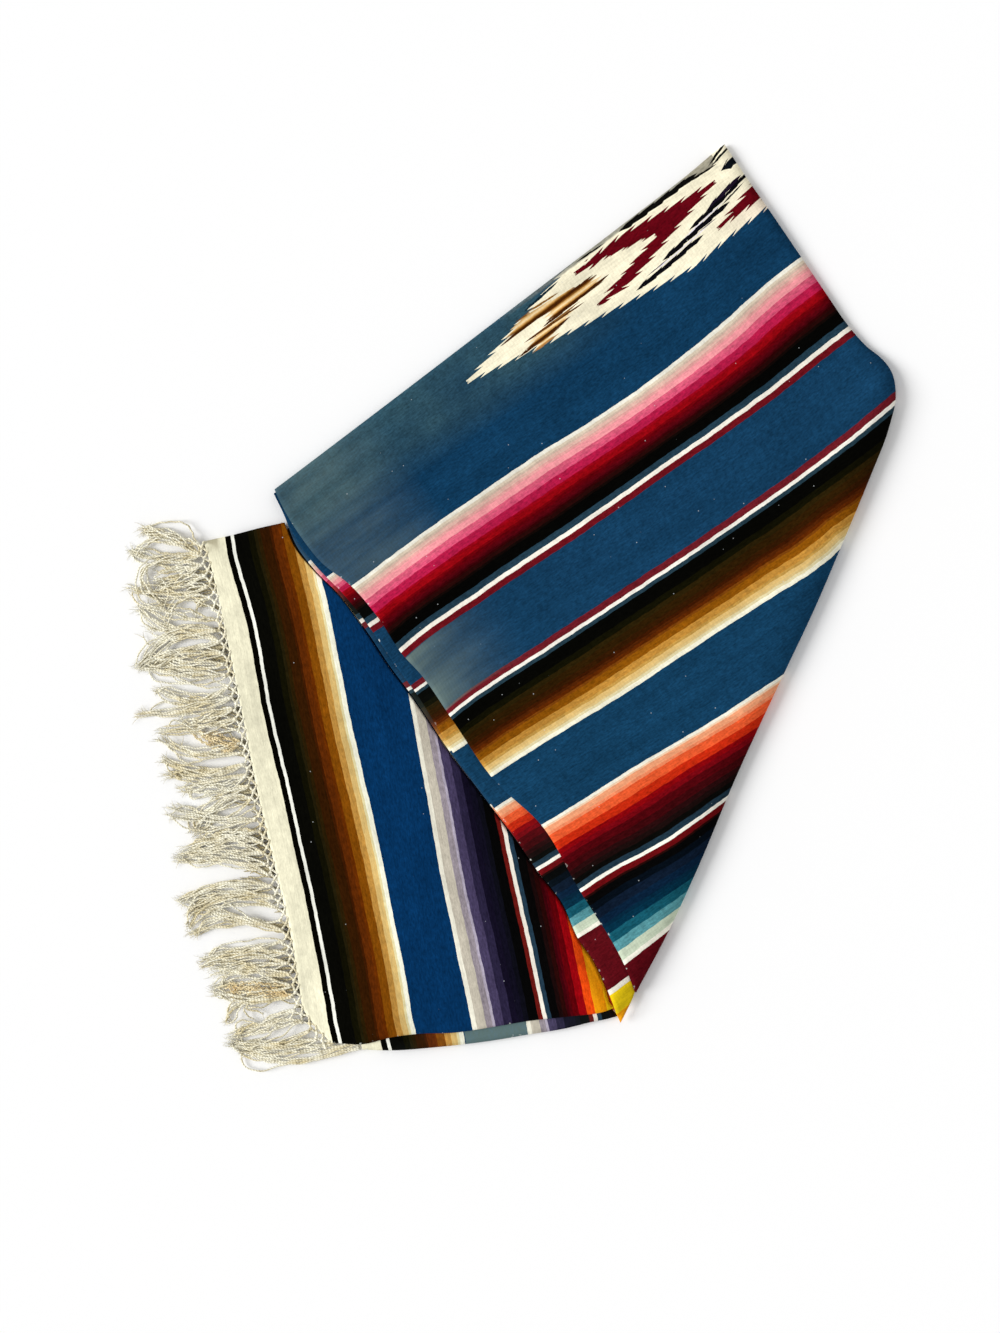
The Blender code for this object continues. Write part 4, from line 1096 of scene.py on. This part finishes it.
# Bundles of yarns. Columns: first and last root along the end (mm from the fold), yarns, the
# bundle's middle (x_mm, y_mm), its tip (x_mm, y_mm), and its width at the middle and the tip.
FACE_BUNDLES = (
    (0, 8, 4, -374, 86, -418, 88, 3, 7), (1, 10, 7, -388, 79, -415, 88, 4, 8),
    (8, 17, 4, -394, 74, -422, 61, 3, 4), (10, 18, 8, -384, 55, -432, 62, 5, 4),
    (18, 30, 9, -372, 46, -397, 46, 9, 12), (24, 36, 8, -370, 38, -399, 26, 8, 8),
    (14, 28, 7, -410, 42, -391, 3, 6, 4), (38, 50, 8, -370, 23, -402, 18, 7, 7),
    (50, 62, 8, -378, 13, -428, 20, 5, 7), (56, 66, 3, -347, 5, -356, -5, 3, 3),
    (66, 72, 3, -370, 4, -386, -20, 3, 3), (82, 92, 6, -370, -7, -415, 3, 4, 6),
    (96, 104, 7, -381, -23, -417, -2, 4, 8), (98, 114, 12, -377, -32, -419, -67, 6, 5),
    (96, 100, 3, -381, -30, -409, -29, 3, 4), (112, 128, 10, -372, -50, -412, -61, 10, 8),
    (128, 142, 9, -367, -61, -408, -54, 8, 8), (140, 156, 12, -367, -73, -410, -67, 7, 6),
    (156, 163, 3, -354, -86, -390, -70, 2, 3), (164, 176, 9, -354, -104, -397, -92, 6, 8),
    (172, 186, 9, -363, -114, -418, -119, 5, 4), (186, 200, 9, -344, -125, -372, -130, 9, 10),
    (198, 212, 8, -350, -136, -397, -138, 6, 8), (228, 236, 5, -354, -161, -398, -146, 3, 6),
    (236, 243, 5, -354, -166, -379, -153, 3, 6), (248, 260, 11, -344, -184, -394, -170, 6, 5),
    (256, 268, 9, -344, -191, -387, -186, 7, 8), (268, 280, 10, -337, -204, -369, -203, 7, 8),
    (278, 298, 12, -330, -219, -359, -253, 5, 3), (292, 300, 4, -328, -231, -384, -222, 5, 5),
    (310, 322, 7, -334, -240, -384, -232, 4, 5), (320, 336, 10, -319, -250, -351, -258, 7, 9),
    (334, 354, 13, -321, -264, -366, -274, 9, 8), (354, 370, 8, -325, -273, -371, -277, 5, 4),
    (370, 386, 8, -322, -283, -375, -283, 4, 4), (388, 402, 12, -321, -312, -371, -327, 5, 5),
    (400, 416, 11, -319, -324, -361, -341, 5, 6), (408, 418, 6, -325, -331, -361, -357, 3, 5),
    (434, 446, 8, -310, -350, -358, -331, 4, 5), (440, 450, 9, -312, -352, -362, -366, 4, 6),
    (452, 464, 8, -297, -382, -344, -394, 4, 4), (462, 480, 12, -301, -389, -346, -399, 7, 6),
    (478, 494, 12, -294, -402, -334, -405, 8, 8), (492, 508, 10, -298, -415, -332, -424, 7, 8),
    (508, 522, 9, -300, -435, -335, -430, 4, 6), (518, 526, 6, -300, -440, -322, -464, 3, 3),
    (520, 526, 2, -292, -445, -285, -458, 1, 1), (528, 552, 14, -281, -472, -314, -481, 6, 5),
    (552, 582, 14, -266, -490, -315, -488, 9, 9),
)
CRIMPED_BUNDLES = (
    (222, 230, 12, -325, -152, -352, -141, 9, 6), (512, 520, 9, -292, -426, -316, -430, 7, 7),
)
SECOND_BUNDLES = (
    (22, 96, 22, -319, 31, -362, 27, 56, 44), (116, 157, 14, -305, -50, -348, -53, 32, 22),
    (193, 257, 20, -290, -135, -333, -135, 52, 40), (279, 314, 12, -275, -205, -317, -207, 26, 20),
    (330, 410, 24, -260, -279, -303, -281, 68, 52), (436, 450, 6, -241, -351, -284, -352, 8, 7),
    (473, 536, 20, -229, -409, -272, -412, 52, 40), (8, 22, 7, -314, 66, -350, 62, 10, 12),
    (96, 116, 10, -298, -17, -331, -19, 20, 20), (157, 193, 16, -285, -86, -318, -87, 34, 34),
    (257, 279, 10, -267, -178, -300, -179, 22, 22), (314, 330, 8, -256, -230, -288, -231, 16, 16),
    (410, 436, 12, -232, -329, -265, -330, 26, 26), (450, 473, 10, -225, -366, -257, -367, 22, 22),
    (536, 560, 10, -209, -451, -241, -452, 24, 24),
)
CORNER_BUNDLES = ((572, 592, 13, -252, -502, -307, -494, 4, 12),)


def tubes(paths, radii, sides):
    """Vertices, faces, end caps and maps of tubes along paths, all with the same number of steps.
    Each ring is set square to the path's run."""
    count, steps = paths.shape[:2]
    run = np.gradient(paths, axis=1)
    run /= np.linalg.norm(run, axis=2)[..., None]
    side = np.cross(run, np.array([0, 0, 1.0]))
    side /= np.maximum(np.linalg.norm(side, axis=2)[..., None], 1e-6)
    up = np.cross(side, run)
    angle = np.arange(sides) / sides * 2 * math.pi
    spoke = side[:, :, None] * np.cos(angle)[:, None] + up[:, :, None] * np.sin(angle)[:, None]
    rings = paths[:, :, None] + spoke * radii[:, :, None, None]
    length = np.cumsum(np.linalg.norm(np.diff(paths, axis=1, prepend=paths[:, :1]), axis=2), axis=1)
    u = np.broadcast_to(length[:, :, None], (count, steps, sides + 1))
    v = np.arange(sides + 1) / sides + 2 * np.arange(count)[:, None, None]
    v = np.broadcast_to(v, (count, steps, sides + 1))
    ring = np.arange(steps * sides).reshape(steps, sides)
    near, far = ring[:-1], ring[1:]
    quads = np.stack([near, np.roll(near, -1, 1), np.roll(far, -1, 1), far], -1).reshape(-1, 4)
    caps = np.array([ring[0][::-1], ring[-1]])
    offsets = np.arange(count)[:, None, None] * steps * sides
    grid = np.stack([u, v], -1)
    corners = [grid[:, :-1, :-1], grid[:, :-1, 1:], grid[:, 1:, 1:], grid[:, 1:, :-1]]
    end_maps = np.repeat(np.stack([u[:, [0, -1], 0], v[:, [0, -1], 0]], -1).reshape(-1, 2), sides, axis=0)
    maps = np.vstack([np.stack(corners, 3).reshape(-1, 2), end_maps])
    return rings.reshape(-1, 3), (quads + offsets).reshape(-1, 4), (caps + offsets).reshape(-1, sides), maps


def yarn_tubes(paths):
    """Tubes along yarns, thickest at their knots and thin at their tips."""
    taper = np.interp(np.linspace(0, 1, paths.shape[1]), *YARN_TAPER)
    return tubes(paths, np.broadcast_to(taper, paths.shape[:2]), sides=6)


def yarn_piece(name, parts):
    """One mesh from several sets of tubes, with the yarn's length and turn as its UV map."""
    verts, faces, maps, count = [], [], [], 0
    for made, quads, ends, places in parts:
        verts.append(made)
        faces += (quads + count).tolist() + (ends + count).tolist()
        maps.append(places)
        count += len(made)
    return smooth_object(name, verts, faces, "yarn", np.vstack(maps))


def hanging_yarns(line, bundles, pitch, start, drop, loose, crimp, seed, steps=48):
    """Paths of the yarns. Each leaves the knot nearest its root and lies along the parabola through
    its own root, middle and tip. Its heading off that curve is a sum of three slow waves, stronger
    where the yarn has more length to spare, a fine crimp, and a curl at the end; the path is the
    running sum of that heading."""
    chance = np.random.default_rng(seed)
    length = np.linalg.norm(np.diff(line, axis=0), axis=1).sum()
    s = np.linspace(0, 1, steps)
    whole = 2 * math.pi
    paths = []
    for first, last, number, middle_x, middle_y, tip_x, tip_y, wide, spread in bundles:
        centre = at_shares(line, [(first + last) / 2000 / length])[0]
        aim = np.array([tip_x, tip_y]) / 1000 - centre
        aim /= np.linalg.norm(aim)
        across = np.array([-aim[1], aim[0]])
        for k in range(number):
            place = (k + 0.5) / number - 0.5
            along = (first + last) / 2 + (last - first) * place
            if pitch:
                along = 0.15 * along + 0.85 * round(along / pitch) * pitch
            share = np.clip(along / 1000 / length, 0, 1)
            outward = -left_normals(line)[min(int(share * (len(line) - 1)), len(line) - 1)]
            root = at_shares(line, [share])[0] + outward * start
            aside = wide * place + chance.normal(0, 0.10 * wide)
            middle = np.array([middle_x, middle_y]) / 1000 + across * aside / 1000
            aside = spread * place + chance.normal(0, 1.6)
            tip = np.array([tip_x, tip_y]) / 1000 + across * aside / 1000
            tip = tip - aim * np.clip(chance.normal(0.003, 0.005), -0.005, 0.020)
            control = 2 * middle - (root + tip) / 2
            legs = (control - root, tip - control, tip - root)
            reach = sum(np.linalg.norm(leg) for leg in legs) / 2
            spare = 1 - min(reach / (YARN_LENGTH - start) / chance.uniform(0.93, 1.05), 0.985)
            bend = min(0.9 * math.sqrt(2 * spare) + 0.10, 0.50)
            heading = crimp * np.sin(whole * (chance.uniform(10, 13) * s + chance.uniform()))
            slow = [chance.uniform(0.5, 0.9), chance.uniform(1.4, 2.4), chance.uniform(4, 7)]
            for turns, weight in zip(slow, (0.45, 0.50, 0.50)):
                heading += bend * weight * np.sin(whole * (turns * s + chance.uniform()))
            curl = np.clip(chance.normal(0, 1.1), -1.2, 1.2) * (chance.uniform() < 0.30)
            heading += curl * soft_step((s - 0.72) / 0.28)
            run = np.cumsum(np.exp(1j * heading))
            run = (run - run[0]) / (run[-1] - run[0])
            u = run.real[:, None]
            curve = (1 - u) ** 2 * root + 2 * u * (1 - u) * control + u**2 * tip
            way = (1 - u) * (control - root) + u * (tip - control)
            way /= np.linalg.norm(way, axis=1)[:, None]
            plan = curve + np.stack([-way[:, 1], way[:, 0]], 1) * run.imag[:, None] * reach
            rise = drop(s, along) + loose * chance.uniform() * soft_step(3 * s)
            ripple = np.sin(whole * (3 * s * chance.uniform(0.8, 1.3) + chance.uniform()))
            rise = rise + 0.25 * loose * ripple
            paths.append(np.column_stack([plan, np.maximum(rise, LEAST_LEVEL)]))
    return np.array(paths)


def frayed_tips(paths, number, seed):
    """Fine fibres that fan out from the last run of each yarn: straight on, turned by a random
    angle that opens along them."""
    chance = np.random.default_rng(seed)
    end, before = np.repeat(paths[:, -3], number, axis=0), np.repeat(paths[:, -7], number, axis=0)
    run = (end - before)[:, :2]
    run /= np.linalg.norm(run, axis=1)[:, None]
    count, share = len(end), np.linspace(0, 1, 9)
    turn = chance.normal(0, 0.35, (count, 1)) + chance.normal(0, 0.8, (count, 1)) * share
    way = np.exp(1j * turn) * (run[:, 0] + 1j * run[:, 1])[:, None]
    step = chance.uniform(0.5, 1.2, (count, 1)) * FRAY_LENGTH / 8
    trail = np.cumsum(way * step, axis=1) - way[:, :1] * step
    lifted = chance.uniform(0, 0.0012, (count, 1)) * share
    height = np.maximum(end[:, 2:] * (1 - 0.7 * share) + lifted, 0.0005)
    fine = np.dstack([end[:, :1] + trail.real, end[:, 1:2] + trail.imag, height])
    radii = np.interp(share, [0, 1], FRAY_TAPER)
    return tubes(fine, np.broadcast_to(radii, fine.shape[:2]), sides=4)


def face_drop(share, along):
    """Height along a yarn of the face's fringe: from its knot down to the floor."""
    return TIP_HEIGHT + (KNOT_LEVEL - TIP_HEIGHT) * (1 - share) ** 1.3


def second_drop(share, along):
    """Height along a yarn of the second layer's fringe: level under the face, then down."""
    level = UNDER_SHARE if along < CORNER_FROM else CORNER_SHARE
    return TIP_HEIGHT + (UNDER_LEVEL - TIP_HEIGHT) * np.clip((1 - share) / (1 - level), 0, 1)


def yarn_material(name, light, straw, dark, shaded_length):
    """Undyed two-ply yarn: slanting plies over its own map, a tone for each yarn between pale and
    straw, uneven along it, matt, with painted shade in the grooves between the plies. The first
    stretch, as long as given, is painted dark as shade where it lies under the cloth."""
    made, shader = matt_material(name, roughness=0.85, sheen=0.05, specular=0.1)
    tree = Tree(made.node_tree)
    length, turn = tree.map_place("yarn")
    ply = ((length * (1 / PLY_LENGTH) + turn) * (2 * math.pi)).sine().absolute()
    lot = tree.value("ShaderNodeTexWhiteNoise", {"W": (turn * 0.5).floor()}, noise_dimensions="1D")
    where = tree.value("ShaderNodeTexCoord", output="Object")
    hue = lot * 0.6 + where.noise(38.0).between(0.40, 0.62, 0.0, 0.5)
    pale = tree.mix(hue.between(0.35, 1.1), light, straw)
    # Painted shade: dark in the grooves between the plies.
    tone = ply.between(0.0, 0.40, 0.25, 1.0) * where.noise(120.0, 3.0, 0.6).between(0.30, 0.48, 0.45, 1.0)
    # Painted shade: the yarn is dark 241e10 over its first stretch, where it lies under the cloth.
    colour = tree.mix(length.between(shaded_length, shaded_length + 0.010), "241e10", tree.mix(tone, dark, pale))
    tree.dress(shader, colour, ply, strength=0.7, depth=0.0007)
    return made


cream_yarn = yarn_material("cream_yarn", "fffbe6", "e6d8ac", "8d8058", -0.02)
straw_yarn = yarn_material("straw_yarn", "fdeec4", "ecd199", "a98a54", -0.02)
# Darker yarn, partly soiled and partly painted shade for the dark gaps under the face's net.
soiled_shaded_yarn = yarn_material("soiled_shaded_yarn", "ddd3b0", "b5a67c", "6b5f3e", 0.056)
face_end = smooth_line(TAIL_END, 600)
second_end = smooth_line(SECOND_END, 600)


def knotted_net(line, seed):
    """Cords of a two-row net outside a line, each a zigzag between its knots, and the knots."""
    chance = np.random.default_rng(seed)
    normals = -left_normals(line)
    cords, knots = [], []
    halves = np.arange(2 * NET_CELLS + 1)
    offsets = [chance.normal(0, size, (len(halves), 2)) for size in (0.0004, 0.0009, 0.0012)]
    share = halves / (2 * NET_CELLS)
    i = np.rint(share * (len(line) - 1)).astype(int)
    fine = np.linspace(0, 2 * NET_CELLS, 2 * NET_CELLS * 6 + 1)
    bent = np.floor(fine) + soft_step(fine - np.floor(fine))
    for row in (0, 1):
        near = halves % 2 == row
        out = np.where(near, NET_ROWS[row], NET_ROWS[row + 1])
        jitter = np.where(near[:, None], offsets[row], offsets[row + 1])
        points = at_shares(line, share) + normals[i] * out[:, None] + jitter
        mix = np.stack([np.interp(bent, halves, points[:, k]) for k in (0, 1)], 1)
        straight = np.stack([np.interp(fine, halves, points[:, k]) for k in (0, 1)], 1)
        height = NET_LEVEL + 0.0004 * np.sin(fine * math.pi) - 0.0012 * row
        cords.append(np.column_stack([0.5 * mix + 0.5 * straight, height]))
        knots.append(np.column_stack([points[~near], np.full((~near).sum(), NET_LEVEL - 0.0010 * row)]))
    return np.array(cords), np.vstack(knots)


def net_knots(places, seed):
    """Short fat tubes, one at each knot."""
    chance = np.random.default_rng(seed)
    share = np.linspace(-1, 1, 7)
    turn = chance.uniform(0, math.pi, len(places))
    way = np.stack([np.cos(turn), np.sin(turn), np.zeros(len(places))], 1)
    paths = places[:, None] + way[:, None] * share[:, None] * KNOT_RADIUS * 1.2
    radii = np.sqrt(np.maximum(1 - (share * 0.97) ** 2, 0.02)) * KNOT_RADIUS
    return tubes(paths, np.broadcast_to(radii, (len(places), 7)), sides=8)


cords, knots = knotted_net(face_end, 5)
cord_tubes = tubes(cords, np.full(cords.shape[:2], CORD_RADIUS), sides=8)
net = yarn_piece("fringe_net", [cord_tubes, net_knots(knots, 6)])
face_yarns = []
for name, bundles, seed in (
    ("fringe_yarns_top", FACE_BUNDLES[:25], 11), ("fringe_yarns_bottom", FACE_BUNDLES[25:], 12),
):
    knotted = (face_end, bundles, NET_PITCH, NET_ROWS[2], face_drop)
    paths = hanging_yarns(*knotted, loose=0.0040, crimp=0.0, seed=seed)
    face_yarns.append(yarn_piece(name, [yarn_tubes(paths), frayed_tips(paths, 2, seed + 20)]))
knotted = (face_end, CRIMPED_BUNDLES, NET_PITCH, NET_ROWS[2], face_drop)
paths = hanging_yarns(*knotted, loose=0.0050, crimp=0.8, seed=14, steps=96)
crimped = tubes(paths, np.full(paths.shape[:2], CRIMPED_RADIUS), sides=6)
crimped_yarns = yarn_piece("crimped_yarns", [crimped])
hemmed = (second_end, SECOND_BUNDLES, 0, SECOND_START, second_drop)
paths = hanging_yarns(*hemmed, loose=0.0004, crimp=0.0, seed=21)
second_yarns = yarn_piece("second_fringe_yarns", [yarn_tubes(paths)])
hemmed = (second_end, CORNER_BUNDLES, 0, SECOND_START, second_drop)
paths = hanging_yarns(*hemmed, loose=0.0016, crimp=0.0, seed=23)
corner_yarns = yarn_piece("corner_fringe_yarns", [yarn_tubes(paths), frayed_tips(paths, 3, 33)])
for yarns, node, finish in (
    (corner_yarns, "fringe_under", cream_yarn),
    (net, "fringe_upper", cream_yarn), (face_yarns[0], "fringe_upper", cream_yarn),
    (face_yarns[1], "fringe_upper", cream_yarn), (crimped_yarns, "fringe_upper", straw_yarn),
    (second_yarns, "fringe_under", soiled_shaded_yarn),
):
    yarns.data.materials.append(finish)
    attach(yarns, "root")
    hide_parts(node)
